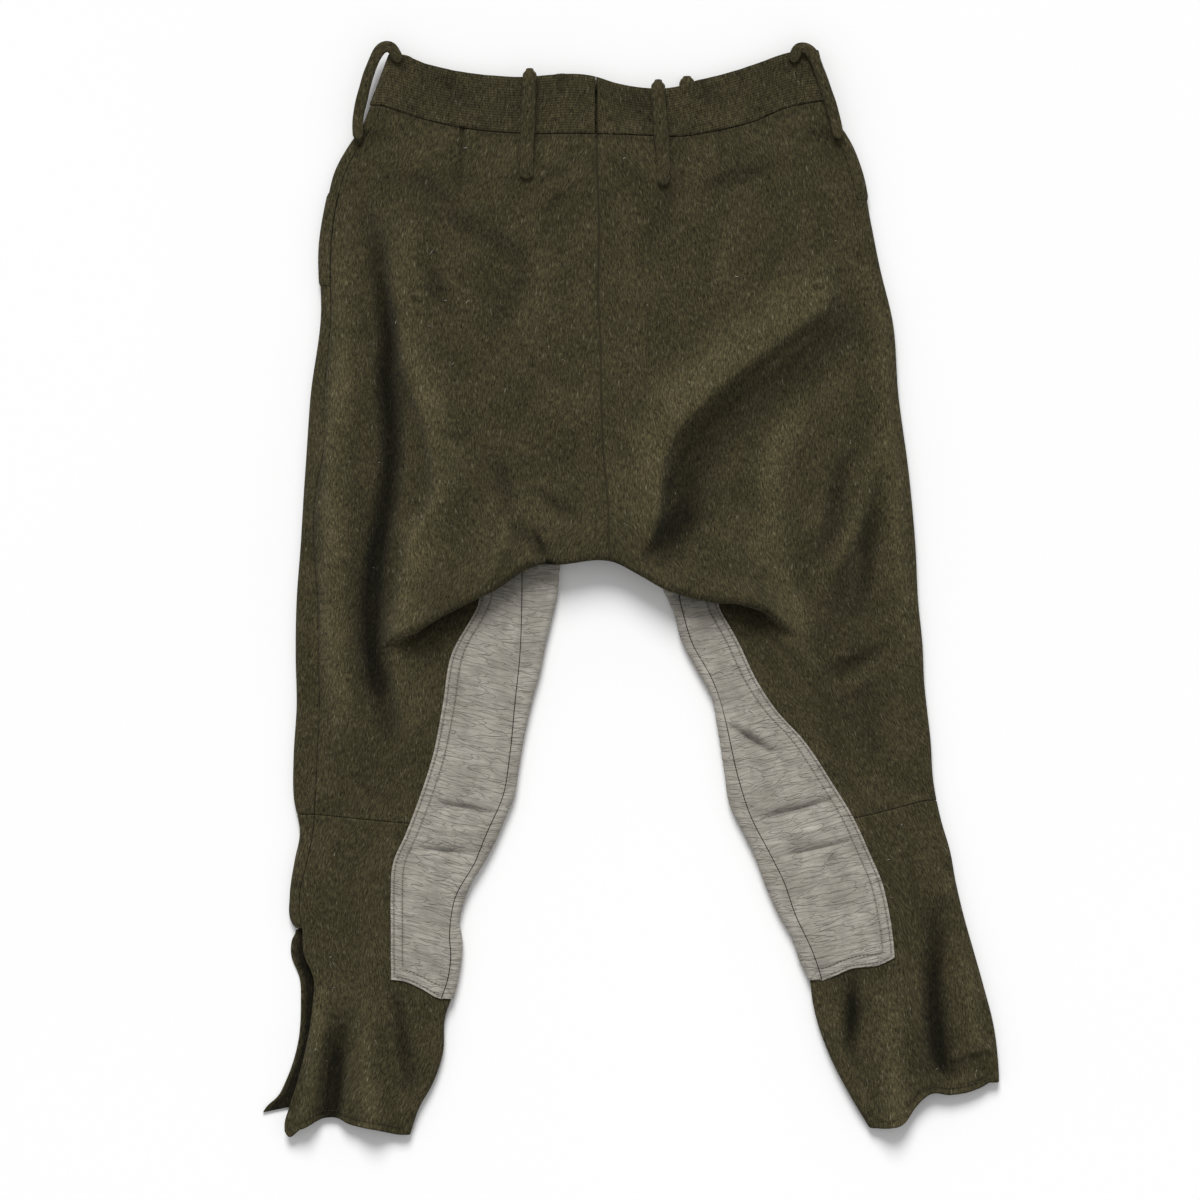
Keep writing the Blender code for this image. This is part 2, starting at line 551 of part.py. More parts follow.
def build_half(shell, half):
    """Add one half's rings to the shell."""
    out = half.outward
    top = top_points(half)
    last = len(ROWS) - 1

    def top_at(r, c):
        return shell.point(*top[r, c])

    def piece(r, layer):
        """Name of the piece for a row and a layer."""
        if r < BAND_ROWS:
            return "waistband_" + half.side
        return ("" if r < FIRST_SHIN else "calf_") + layer + "_" + half.side

    # the fold along the outer edge, from the top point next to it round to the underside
    outer_ring = []
    for r in range(last + 1):
        x0, y0, z0 = top[r, 0]
        edge = float(mm_x(half.line("outer", photo_y(y0))))
        reach = min(FOLD_REACH, FOLD_SHARE * abs(x0 - edge))
        high = float(half.height(half.line("outer", photo_y(y0)) - out * reach / MM_PER_PIXEL,
                                 photo_y(y0), r >= FIRST_THIGH)) if r >= BAND_ROWS else z0
        high = min(high, z0 + FOLD_RISE)
        low = under_height(r, photo_y(y0), False)
        ring = []
        for angle in FOLD_ANGLES:
            a = math.radians(angle)
            ring.append(shell.point(edge - out * reach * (1.0 - math.cos(a)), y0,
                                    low + (high - low) * (0.5 + 0.5 * math.sin(a))))
        outer_ring.append(ring)

    # the fold along the inner edge of the leg, from the inseam round to the underside
    inner_ring = {}
    for r in range(FIRST_THIGH, last + 1):
        x0, y0, z0 = top[r, LEG_COLUMNS]
        edge = float(mm_x(half.line("inner", photo_y(y0))))
        reach = min(FOLD_REACH, FOLD_SHARE * abs(x0 - edge))
        low = under_height(r, photo_y(y0), r <= FIRST_HEM)
        high = float(half.height(half.line("inner", photo_y(y0)) + out * reach / MM_PER_PIXEL,
                                 photo_y(y0), True))
        high = min(high, z0 + FOLD_RISE)
        ring = [top_at(r, LEG_COLUMNS)]
        for angle in FOLD_ANGLES:
            a = math.radians(angle)
            ring.append(shell.point(edge + out * reach * (1.0 - math.cos(a)), y0,
                                    low + (high - low) * (0.5 + 0.5 * math.sin(a))))
        inner_ring[r] = ring
    # between the crotch and the thigh the ring runs out along the crotch seam
    start = [top_at(BRIDGE_END, LEG_COLUMNS + k) for k in range(BRIDGE_COLUMNS + 1)]
    inner_ring[BRIDGE_END] = start
    shell.eased.update(start)
    ring = [top_at(BRIDGE_END + 1, LEG_COLUMNS)]
    for k in range(1, BRIDGE_COLUMNS + 1):
        a = np.array(shell.points[start[k]])
        b = np.array(shell.points[inner_ring[FIRST_THIGH][k]])
        bow = np.array((0.0, *CROTCH_TURN)) * k / BRIDGE_COLUMNS
        ring.append(shell.point(*(0.5 * (a + b) + bow)))
    inner_ring[BRIDGE_END + 1] = ring

    faces = []
    for r in range(last):
        # top layer
        columns = LEG_COLUMNS if r >= BRIDGE_END else TOP_COLUMNS
        for c in range(columns):
            quad = (top_at(r, c), top_at(r + 1, c), top_at(r + 1, c + 1), top_at(r, c + 1))
            kind = "strap" if WOOL_COLUMNS <= c < LEG_COLUMNS and \
                FIRST_THIGH <= r < FIRST_HEM else "top"
            faces.append((quad, piece(r, "back"), kind))
        # outer fold
        closed = not (half.side == "left" and r >= FIRST_SHIN and
                      photo_y(top[r + 1, 0][1]) > PLACKET_TOP_Y)
        if closed:
            a = [top_at(r, 0)] + outer_ring[r]
            b = [top_at(r + 1, 0)] + outer_ring[r + 1]
            for k in range(len(a) - 1):
                back = half.side == "right" and k < BACK_FOLDS
                y_here = photo_y(top[r, 0][1])
                low, high = WELT_ROWS[half.side]
                tag = "welt" if k < WELT_FOLDS and low <= y_here < high else "side"
                faces.append(((a[k], a[k + 1], b[k + 1], b[k]),
                              piece(r, "back" if back else "front"), tag))
        # inner fold
        if r >= BRIDGE_END:
            a, b = inner_ring[r], inner_ring[r + 1]
            for k in range(len(a) - 1):
                faces.append(((a[k], b[k], b[k + 1], a[k + 1]), piece(r, "front"),
                              "strap" if FIRST_THIGH <= r < FIRST_HEM else "inner"))

    # the underside, in straight rows from the outer fold to the inner fold or the centre
    centre_rows = BRIDGE_END
    crotch = np.array(shell.points[top_at(BRIDGE_END, TOP_COLUMNS)])
    waist = top[0, TOP_COLUMNS]
    corner = np.array(shell.points[inner_ring[FIRST_THIGH][-1]])
    rows = []
    for r in range(last + 1):
        outer = np.array(shell.points[outer_ring[r][-1]])
        open_flap = half.side == "left" and r > FIRST_SHIN and \
            photo_y(top[r, 0][1]) > PLACKET_TOP_Y + PLACKET_LEAD
        y_here = photo_y(outer[1])
        if open_flap:
            outer = np.array((float(mm_x(half.line("outer", y_here))), outer[1], 0.0))
        if r <= centre_rows:
            t = r / centre_rows
            y_in = waist[1] + (crotch[1] - waist[1]) * t
            z_in = under_height(r, photo_y(y_in), False)
            inner = np.array((float(mm_x(along(CENTRE, photo_y(y_in)))), y_in, z_in))
            if r == centre_rows:
                inner = crotch
            y_leg = waist[1] + (corner[1] + CROTCH_BAY - waist[1]) * t
            leg_in = np.array((corner[0], y_leg, under_height(r, photo_y(y_leg), False)))
        else:
            inner = None
            leg_in = np.array(shell.points[inner_ring[r][-1]])
        line_in = leg_in
        if r == BRIDGE_END + 1:
            line_in = 0.5 * (np.array(shell.points[rows[-1][-2]]) + corner)
        x_strap = line_in[0] + out * FRONT_STRAP_WIDTH * MM_PER_PIXEL
        x_ramp = x_strap + out * STRAP_RAMP * MM_PER_PIXEL
        stations = [outer[0] + (x_ramp - outer[0]) * k / 3.0 for k in range(3)]
        stations += [x_ramp, x_strap, 0.5 * (x_strap + line_in[0])]
        row = []
        for k, x in enumerate(stations):
            t = (x - outer[0]) / (line_in[0] - outer[0])
            y = outer[1] + (line_in[1] - outer[1]) * t
            if k and r < centre_rows:
                # the waist dips in a curve, and the front lies just short of the back
                side = float(mm_y(along(BAND_TOP, half.lines[0][1])))
                chord = waist[1] + (side - waist[1]) * (1.0 - t)
                dip = float(mm_y(along(BAND_TOP, photo_x(x)))) - chord - FRONT_WAIST_DROP
                y += dip * (1.0 - r / centre_rows)
            strapped = k >= 4 and FIRST_THIGH <= r <= FIRST_HEM
            z = under_height(r, photo_y(y), strapped)
            row.append(shell.point(x, y, z) if k else shell.point(*outer))
        row.append(shell.point(*leg_in))
        if inner is not None:
            row.append(shell.point(*inner))
        rows.append(row)
    for r in range(last):
        a, b = rows[r], rows[r + 1]
        for k in range(min(len(a), len(b)) - 1):
            flap = half.side == "left" and k == 0 and r >= FIRST_SHIN and \
                photo_y(top[r + 1, 0][1]) > PLACKET_TOP_Y
            tag = "strap" if FIRST_THIGH <= r < FIRST_HEM and 4 <= k < 6 else "under"
            label = "placket_" + half.side if flap else piece(r, "front")
            faces.append(((a[k], a[k + 1], b[k + 1], b[k]), label, tag))
        if r == centre_rows:
            faces.append(((a[-2], a[-1], b[-1]), piece(r, "front"), "under"))

    for quad, label, tag in faces:
        if half.side == "right":
            quad = quad[::-1]
        shell.face(quad, label, tag)


def under_height(row, y, strapped):
    """Height of the underside: lifted at the waist by its loops and over the strapping."""
    if strapped:
        return STRAP + LAY_GAP
    if row <= BRIDGE_END:
        return WAIST_LIFT * (1.0 - float(smooth((y - WAIST_LIFT_END[0])
                                                / (WAIST_LIFT_END[1] - WAIST_LIFT_END[0]))))
    return 0.0


def shared_normals(shell):
    """Outward normal at each point, from every face round it."""
    points = np.array(shell.points)
    normals = np.zeros_like(points)
    for face in shell.faces:
        corners = points[list(face)]
        span = np.zeros(3)
        for k in range(1, len(face) - 1):
            span += np.cross(corners[k] - corners[0], corners[k + 1] - corners[0])
        length = np.linalg.norm(span)
        if length > 0:
            span = span / math.sqrt(length)
        for corner in face:
            normals[corner] += span
    lengths = np.linalg.norm(normals, axis=1)
    return points, normals / np.maximum(lengths, 1e-9)[:, None]


def wall(shell, points, normals, chosen, outer, inner, pull):
    """Closed wall over the chosen faces, between two distances from the shell."""
    counts = {}
    for f in chosen:
        face = shell.faces[f]
        for a, b in zip(face, face[1:] + face[:1]):
            counts[(a, b)] = counts.get((a, b), 0) + 1
    border = [(a, b) for (a, b) in counts if (b, a) not in counts]
    used = sorted({v for f in chosen for v in shell.faces[f]})
    place = {v: k for k, v in enumerate(used)}
    base = points[used].copy()
    # each border point moves square to its two border edges, into the piece
    inward = {}
    for a, b in border:
        run = points[b] - points[a]
        for v in (a, b):
            square = np.cross(normals[v], run)
            inward.setdefault(v, []).append(square / max(np.linalg.norm(square), 1e-9))
    for v, squares in inward.items():
        move = np.sum(squares, axis=0)
        move /= max(np.linalg.norm(move), 1e-9)
        ease = CROTCH_EASE if v in shell.eased else 1.0
        base[place[v]] += move * pull * ease / max(0.5, float(np.dot(move, squares[0])))
    shifted = normals[used]
    vertices = np.vstack((base + shifted * outer, base - shifted * inner))
    count = len(used)
    triangles = []
    for f in chosen:
        face = shell.faces[f]
        ids = [place[v] for v in face]
        if len(ids) == 3:
            split = [(0, 1, 2)]
        else:
            corners = points[list(face)]
            first = np.linalg.norm(corners[0] - corners[2])
            second = np.linalg.norm(corners[1] - corners[3])
            split = [(0, 1, 2), (0, 2, 3)] if first <= second else [(1, 2, 3), (1, 3, 0)]
        for a, b, c in split:
            triangles.append((ids[a], ids[b], ids[c]))
            triangles.append((ids[c] + count, ids[b] + count, ids[a] + count))
    for a, b in border:
        ia, ib = place[a], place[b]
        triangles.append((ib, ia, ia + count))
        triangles.append((ib, ia + count, ib + count))
    return vertices, triangles


def add_object(name, vertices, triangles, colour, roughness, collection):
    """Make a named object with its own material from millimetre vertices."""
    mesh = bpy.data.meshes.new(name)
    mesh.from_pydata([tuple(0.001 * float(q) for q in v) for v in vertices], [], triangles)
    mesh.update()
    for polygon in mesh.polygons:
        polygon.use_smooth = True
    mesh.set_sharp_from_angle(angle=math.radians(CORNER_ANGLE))
    material = bpy.data.materials.new(name)
    material.use_nodes = True
    shader = material.node_tree.nodes["Principled BSDF"]
    shader.inputs["Base Color"].default_value = (*colour, 1.0)
    shader.inputs["Roughness"].default_value = roughness
    shader.inputs["Metallic"].default_value = 0.0
    mesh.materials.append(material)
    item = bpy.data.objects.new(name, mesh)
    collection.objects.link(item)
    return item


def ribbon(path, width, thick, across=None):
    """Closed ribbon swept along a path of millimetre points."""
    path = eased_path(path, 2)
    vertices, triangles = [], []
    for k in range(len(path)):
        ahead = path[min(k + 1, len(path) - 1)] - path[max(k - 1, 0)]
        ahead /= np.linalg.norm(ahead)
        side = np.array(across(ahead, k / (len(path) - 1)) if across else (1.0, 0.0, 0.0))
        side = side - ahead * np.dot(side, ahead)
        side /= np.linalg.norm(side)
        up = np.cross(side, ahead)
        for s, u in ((-1, -1), (1, -1), (1, 1), (-1, 1)):
            vertices.append(path[k] + side * s * width / 2 + up * u * thick / 2)
    for k in range(len(path) - 1):
        for j in range(4):
            a, b = 4 * k + j, 4 * k + (j + 1) % 4
            triangles += [(a, b, b + 4), (a, b + 4, a + 4)]
    end = 4 * (len(path) - 1)
    triangles += [(0, 2, 1), (0, 3, 2), (end, end + 1, end + 2), (end, end + 2, end + 3)]
    volume = sum(np.dot(vertices[a], np.cross(vertices[b], vertices[c])) for a, b, c in triangles)
    if volume < 0:
        triangles = [(a, c, b) for a, b, c in triangles]
    return vertices, triangles


def build():
    """Build every piece of the breeches."""
    for item in list(bpy.data.objects):
        bpy.data.objects.remove(item, do_unlink=True)
    collection = bpy.data.collections.new("riding_breeches")
    bpy.context.scene.collection.children.link(collection)

    shell = Shell()
    build_half(shell, LEFT)
    build_half(shell, RIGHT)
    points, normals = shared_normals(shell)

    labels = sorted(set(shell.labels))
    for label in labels:
        chosen = [k for k, name in enumerate(shell.labels) if name == label]
        thick = BAND if label.startswith("waistband") else WOOL
        vertices, triangles = wall(shell, points, normals, chosen, 0.0, thick, SEAM_GAP / 2)
        add_object(label, vertices, triangles, WOOL_COLOUR, 0.95, collection)
    for side in ("left", "right"):
        for layer in ("back", "front"):
            chosen = [k for k, tag in enumerate(shell.tags)
                      if tag == "strap" and shell.labels[k].endswith(layer + "_" + side)]
            vertices, triangles = wall(shell, points, normals, chosen, LAY_GAP + STRAP,
                                       -LAY_GAP, SEAM_GAP / 2)
            add_object("strapping_" + layer + "_" + side, vertices, triangles, STRAP_COLOUR, 0.9,
                       collection)
        chosen = [k for k, tag in enumerate(shell.tags)
                  if tag == "welt" and shell.labels[k].endswith("_" + side)]
        vertices, triangles = wall(shell, points, normals, chosen, LAY_GAP + WELT, -LAY_GAP, 0.0)
        add_object("pocket_welt_" + side, vertices, triangles, WOOL_COLOUR, 0.95, collection)

    for name, table in BACK_LOOPS.items():
        path = []
        for x, y, lift in table:
            half = LEFT if x < along(CENTRE, y) else RIGHT
            ground = half.height(x, max(y, BAND_EDGE))
            path.append((mm_x(x), mm_y(y), float(ground) + lift))
        vertices, triangles = ribbon(path, LOOP_WIDTH, LOOP_THICK)
        add_object(name, vertices, triangles, WOOL_COLOUR, 0.95, collection)
    for name, table in SIDE_LOOPS.items():
        path = [(mm_x(x), mm_y(y), z) for x, y, z in table]
        lean = -1.0 if name.endswith("left") else 1.0
        vertices, triangles = ribbon(path, LOOP_WIDTH, LOOP_THICK,
                                     lambda ahead, t, s=lean: (1.0, 0.0, -0.1 * s))
        add_object(name, vertices, triangles, WOOL_COLOUR, 0.95, collection)
    for name, x in FRONT_LOOPS.items():
        top = float(along(BAND_TOP, x)) - FRONT_LOOP_TOP
        path = [(mm_x(x), mm_y(y + top), z) for y, z in FRONT_LOOP_PATH]
        vertices, triangles = ribbon(path, LOOP_WIDTH, LOOP_THICK)
        add_object(name, vertices, triangles, WOOL_COLOUR, 0.95, collection)


build()
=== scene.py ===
"""Looks of the riding breeches: napped olive wool and grey strappings, laid flat, back side up.

The laid garment is worked out as one smooth shell from short tables of the cut: a waist, two
torso halves, a seat pouch that folds over the thighs, and two legs. Every cut piece is a thin
cloth wall over its own part of that shell. Tables are in photo pixels, x right and y down.
"""
import logging
import math
from dataclasses import dataclass
from enum import Enum
from typing import Dict, List, Optional, Sequence, Tuple

import bpy
import numpy as np
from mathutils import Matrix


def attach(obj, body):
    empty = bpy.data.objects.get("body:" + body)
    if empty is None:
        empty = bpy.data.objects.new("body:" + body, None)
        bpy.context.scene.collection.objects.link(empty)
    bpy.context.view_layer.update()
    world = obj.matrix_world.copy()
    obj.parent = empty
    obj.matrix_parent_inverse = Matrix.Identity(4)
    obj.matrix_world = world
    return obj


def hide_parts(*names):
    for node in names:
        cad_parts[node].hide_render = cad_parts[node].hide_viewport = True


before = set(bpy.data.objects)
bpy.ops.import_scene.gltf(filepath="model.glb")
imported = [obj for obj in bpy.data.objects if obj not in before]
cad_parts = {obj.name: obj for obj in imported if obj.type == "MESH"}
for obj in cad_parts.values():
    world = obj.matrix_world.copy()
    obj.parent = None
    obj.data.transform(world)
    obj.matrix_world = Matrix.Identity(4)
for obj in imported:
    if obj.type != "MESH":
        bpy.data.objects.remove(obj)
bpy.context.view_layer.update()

LOG = logging.getLogger("breeches")
Array = np.ndarray
Rows = Sequence[Sequence[float]]
Pair = Tuple[float, float]
Colour = Tuple[float, float, float]
Socket = bpy.types.NodeSocket
Item = bpy.types.Object

MM_PER_PIXEL = 0.865
VIEW_MIDDLE = (632.5, 588.0)

# Rows and columns of the cut, as in the solids: a whole number is one row or column there
WAIST_ROW, POUCH_ROW, CROTCH_ROW, THIGH_ROW = 3, 28, 33, 35
KNEE_ROW, STRAP_END_ROW, HEM_ROW = 48, 58, 66
STRAP_COLUMN, INSEAM_COLUMN, CENTRE_COLUMN = 7, 10, 15
RING_STEPS = 5                # steps of an edge fold, from the seam round to the underside
PLACKET_TOP = 928.0           # photo y below which the left calf's side is open
POCKETS = {"left": (192.0, 285.0), "right": (128.0, 200.0)}   # photo y of each pocket's ends

END_ROW_MM = 13.0             # length of one row at the strappings' ends
STRAP_STITCHES = (3.1, 10.4)  # rows of stitches, in millimetres from a strapping's edge
STRAP_TILT = 0.25             # slant of the strappings' creases towards the inseam
FRONT_SHIFT = 900.0           # keeps the front's pattern away from the back's, in millimetres
INSIDE_SHADE = -45.0          # painted shadow: how dark the calf's inside is drawn where its side is open
QUIET_SHARE = 0.92            # how much of the gap and roll a seam loses where it hardly shows
UNDER_PULL = 0.1              # share of the gap that a seam has on the floor
SEARCH_STEPS = 12             # rounds that find where a column meets a row

# Lines down the left half. Columns: y, outer edge, side seam, strapping edge, inseam
LEFT_LINES = (
    (50, 392, 402, 470, 530), (103, 372, 383, 468, 530), (128, 362, 373, 466, 529),
    (145, 350, 361, 466, 529), (170, 336, 347, 466, 528), (200, 328, 338, 466, 527),
    (240, 321, 332, 466, 526), (320, 321, 331, 466, 525), (395, 311, 325, 466, 524),
    (451, 307, 324, 468, 523), (495, 304, 316, 471, 522), (545, 301, 314, 476, 522),
    (599, 297, 318, 479, 522), (656, 296, 319, 451, 520), (704, 297, 320, 443, 515),
    (755, 294, 318, 433, 510), (796, 294, 316, 420, 503), (835, 300, 313, 405, 486),
    (860, 295, 308, 394, 476), (896, 290, 300, 391, 456), (920, 291, 301, 391, 451),
    (930, 296, 303, 391, 450), (940, 292, 303, 391, 450), (952, 291, 304, 391, 451),
    (979, 300, 314, 391, 448), (1003, 301, 313, 388, 440),
    (1047, 298, 306, 384, 434), (1090, 286, 295, 372, 421), (1108, 278, 289, 367, 412),
    (1122, 267, 285, 363, 406), (1132, 262, 285, 360, 402))
# Lines down the right half, with the same columns
RIGHT_LINES = (
    (50, 817, 806, 730, 662), (102, 829, 818, 728, 662), (125, 838, 827, 727, 663),
    (145, 850, 839, 726, 664), (170, 860, 849, 725, 665), (220, 870, 860, 724, 667),
    (270, 880, 870, 722, 669), (320, 892, 882, 720, 671), (395, 898, 888, 717, 673),
    (470, 908, 898, 714, 674), (545, 915, 905, 713, 674), (604, 918, 908, 719, 681),
    (643, 922, 912, 739, 692), (684, 924, 914, 759, 714), (712, 927, 917, 778, 723),
    (738, 930, 920, 802, 729), (781, 933, 923, 831, 739), (817, 940, 930, 853, 751),
    (852, 950, 940, 869, 769), (880, 955, 945, 881, 783), (914, 963, 953, 889, 795),
    (953, 974, 964, 894, 813), (985, 983, 973, 895, 823), (1024, 993, 983, 900, 830),
    (1065, 998, 988, 912, 845), (1127, 998, 988, 925, 880))
# Inner edge of each leg. Columns: y, x
LEFT_INNER = (
    (560, 559), (570, 558), (595, 556), (620, 550), (645, 544), (670, 539), (695, 532),
    (720, 526), (745, 521), (770, 517), (795, 513), (820, 503), (845, 492), (860, 484),
    (881, 471), (906, 461), (921, 458), (940, 461), (967, 459), (997, 452), (1014, 446),
    (1053, 443), (1085, 432), (1106, 420), (1132, 411))
RIGHT_INNER = (
    (580, 660), (590, 665), (615, 676), (638, 682), (669, 698), (697, 713), (722, 718),
    (773, 726), (804, 731), (835, 746), (858, 757), (880, 765), (914, 780), (937, 793),
    (960, 801), (978, 809), (999, 812), (1021, 817), (1065, 834), (1097, 851), (1127, 869))
# Centre back and centre front. Columns: y, x
CENTRE = (
    (50, 596), (143, 596), (159, 596), (230, 598), (300, 597), (350, 599.5), (400, 600),
    (450, 602), (495, 606), (546, 608), (600, 608))

# Lines across the garment. Columns: x, y
BAND_TOP = (
    (372, 55), (399, 55), (427, 65), (462, 73), (510, 78), (596, 78), (615, 84), (635, 88),
    (676, 88), (699, 81), (717, 77), (750, 67), (788, 54), (825, 49))
WAIST_SEAM = (
    (355, 98), (371, 103), (392, 110), (427, 121), (462, 129), (510, 134), (596, 135),
    (650, 137), (673, 138), (717, 132), (755, 122), (786, 109), (815, 103), (830, 100))
POUCH_EDGE = (
    (290, 662), (355, 656), (391, 648), (402, 643), (433, 623), (479, 599), (497, 590),
    (522, 573), (537, 566), (560, 565), (615, 563), (640, 576), (665, 590), (682, 596),
    (713, 603), (739, 605), (764, 615), (777, 628), (830, 650), (920, 668))
KNEE_SEAM = (
    (290, 812), (314, 814), (410, 823), (520, 828), (700, 832), (760, 829), (857, 817),
    (935, 798), (950, 795))
STRAP_END = (
    (285, 972), (340, 975), (391, 979), (405, 981), (421, 988), (437, 997), (465, 998),
    (790, 982), (812, 981), (825, 979), (851, 968), (880, 964), (894, 957), (1000, 952))
HEM = (
    (262, 1112), (276, 1116), (282, 1121), (285, 1130), (302, 1128), (327, 1117),
    (336, 1117), (350, 1123), (375, 1128), (404, 1134), (420, 1131), (855, 1119), (871, 1126),
    (889, 1127), (905, 1121), (916, 1105), (928, 1094), (950, 1094), (972, 1090), (985, 1084),
    (994, 1076), (999, 1064))

FULL_TURN = 178.0             # degrees by which the pouch folds over where it lies flat
# Where the pouch folds over. Columns: x, turn of the fold in degrees
POUCH_TURN = (
    (380, 0), (400, 70), (435, 150), (470, FULL_TURN), (715, FULL_TURN), (745, 150), (775, 70),
    (800, 0))
# Roll of the pouch edge. Columns: x, share of the way to the roll between the legs
POUCH_SWELL = ((525, 0.0), (560, 0.6), (590, 1.0), (625, 1.0), (655, 0.5), (680, 0.0))

# Main folds. Each: name, width to the left and to the right of the way the line runs (mm),
# then the line's points. Columns of the points: x, y, height in millimetres
FOLDS = (
    ("left_valley", 17, 13, (
        (356, 190, -1), (376, 250, -4), (383, 290, -7), (389, 340, -9), (387, 375, -9),
        (390, 421, -10), (391, 462, -10), (382, 530, -10), (374, 571, -9), (372, 639, -9),
        (376, 679, -9), (384, 715, -6), (392, 755, 0))),
    ("left_outer_tube", 22, 24, (
        (338, 215, 0), (344, 290, 4), (344, 380, 8), (338, 460, 10), (336, 560, 10),
        (338, 640, 9), (345, 720, 6), (350, 800, 0))),
    ("left_seat_edge", 34, 12, (
        (379, 204, 0), (394, 242, 3), (396, 301, 6), (412, 375, 8), (428, 421, 9),
        (440, 484, 10), (430, 515, 9), (414, 545, 8), (404, 595, 7), (398, 640, 6),
        (400, 680, 6), (405, 735, 2), (410, 770, 0))),
    ("left_pocket_ridge", 9, 9, ((409, 255, 0), (420, 291, 3), (434, 329, 0))),
    ("left_pocket_trough", 11, 11, ((428, 260, 0), (440, 296, -3), (452, 330, 0))),
    ("left_scoop", 17, 17, (
        (352, 184, 0), (416, 184, -2), (456, 224, -3), (512, 258, -3), (520, 285, -3),
        (504, 325, -2), (480, 375, 0))),
    ("left_seat_crease", 9, 9, ((424, 435, 0), (450, 440, -2), (481, 443, 0))),
    ("left_dimple", 13, 13, (
        (490, 440, 0), (505, 490, -4), (513, 525, -5), (530, 545, -4), (548, 556, 0))),
    ("left_dimple_ridge", 11, 11, ((524, 485, 0), (509, 530, 4), (494, 570, 4), (480, 600, 0))),
    ("left_crotch_trough", 11, 11, ((530, 486, 0), (556, 508, -4), (582, 529, 0))),
    ("centre_crease", 9, 9, ((536, 220, 0), (560, 204, -2), (584, 188, 0))),
    ("right_great_fold", 11, 52, (
        (834, 250, 0), (830, 276, 4), (822, 308, 7), (790, 332, 9), (752, 361, 10),
        (722, 386, 10), (686, 420, 10), (666, 448, 9), (658, 480, 8), (656, 512, 7),
        (648, 540, 4), (634, 558, 0))),
    ("right_great_shadow", 42, 11, (
        (846, 290, 0), (838, 326, -3), (808, 354, -4), (764, 386, -4), (720, 419, -5),
        (688, 455, -6), (673, 492, -6), (668, 524, -6), (656, 550, -5), (640, 564, 0))),
    ("right_thigh_ridge", 25, 25, (
        (812, 385, 0), (788, 435, 6), (768, 477, 8), (774, 540, 8), (783, 591, 7),
        (795, 625, 6), (806, 663, 3), (818, 700, 0))),
    ("right_narrow_ridge", 12, 12, (
        (880, 440, 0), (869, 480, 5), (860, 511, 6), (845, 548, 6), (829, 577, 3),
        (812, 605, 0))),
    ("right_inner_valley", 12, 12, ((852, 450, 0), (840, 483, -5), (829, 535, -5), (818, 575, 0))),
    ("right_outer_valley", 12, 12, ((882, 505, 0), (870, 540, -5), (866, 590, -5), (860, 628, 0))),
    ("right_cross_trough", 12, 12, ((892, 647, 0), (856, 664, -4), (820, 682, 0))),
    ("right_cross_ridge", 12, 12, ((880, 672, 0), (856, 684, 3), (832, 694, 0))),
    ("right_hip_trough", 15, 15, ((684, 168, 0), (665, 215, -3), (646, 268, 0))),
    ("right_yoke_trough", 15, 15, ((812, 158, 0), (745, 180, -3), (676, 202, 0))),
    ("right_hip_ridge", 15, 15, ((725, 218, 0), (722, 270, 3), (719, 325, 0))),
    ("right_side_ridge", 20, 20, (
        (868, 255, 0), (882, 330, 4), (890, 430, 5), (899, 540, 5), (905, 640, 4),
        (908, 720, 0))),
    ("left_knee_crease", 8, 8, ((426, 802, 0), (465, 808, -2), (503, 815, 0))),
    ("left_shin_crease", 8, 8, ((411, 847, 0), (448, 850, -2), (485, 853, 0))),
    ("right_knee_crease", 8, 8, ((755, 819, 0), (798, 808, -2), (842, 797, 0))),
    ("right_shin_crease", 8, 8, ((768, 857, 0), (815, 847, -2), (862, 837, 0))),
    ("right_strap_fold", 9, 9, ((729, 725, 0), (752, 740, -2), (780, 757, 0))),
    ("left_calf_valley", 15, 15, (
        (341, 1020, 0), (337, 1050, -6), (335, 1080, -9), (331, 1110, -8), (329, 1130, -7))),
    ("left_calf_crease", 9, 9, ((395, 990, 0), (402, 1035, -5), (409, 1070, -4), (412, 1096, 0))),
    ("left_calf_outer", 13, 13, ((318, 950, 0), (322, 1000, 4), (316, 1060, 5), (304, 1125, 4))),
    ("left_calf_middle", 19, 19, ((362, 985, 0), (368, 1050, 5), (372, 1128, 6))),
    ("right_calf_crease", 9, 9, ((854, 970, 0), (853, 1000, -6), (850, 1030, -6), (846, 1058, 0))),
    ("right_calf_valley", 14, 14, (
        (934, 895, 0), (937, 931, -4), (932, 985, -7), (937, 1038, -8), (943, 1066, -6),
        (962, 1069, -3), (990, 1052, 0))),
    ("right_calf_middle", 21, 21, ((884, 975, 0), (890, 1040, 6), (892, 1120, 7))),
    ("right_calf_outer", 13, 13, ((958, 930, 0), (968, 985, 4), (976, 1040, 4), (984, 1062, 0))),
    ("right_calf_inner", 12, 12, ((828, 1000, 0), (840, 1055, 4), (862, 1108, 4))),
    ("right_calf_cross", 9, 9, ((940, 896, 0), (948, 888, 3), (958, 880, 0))),
)

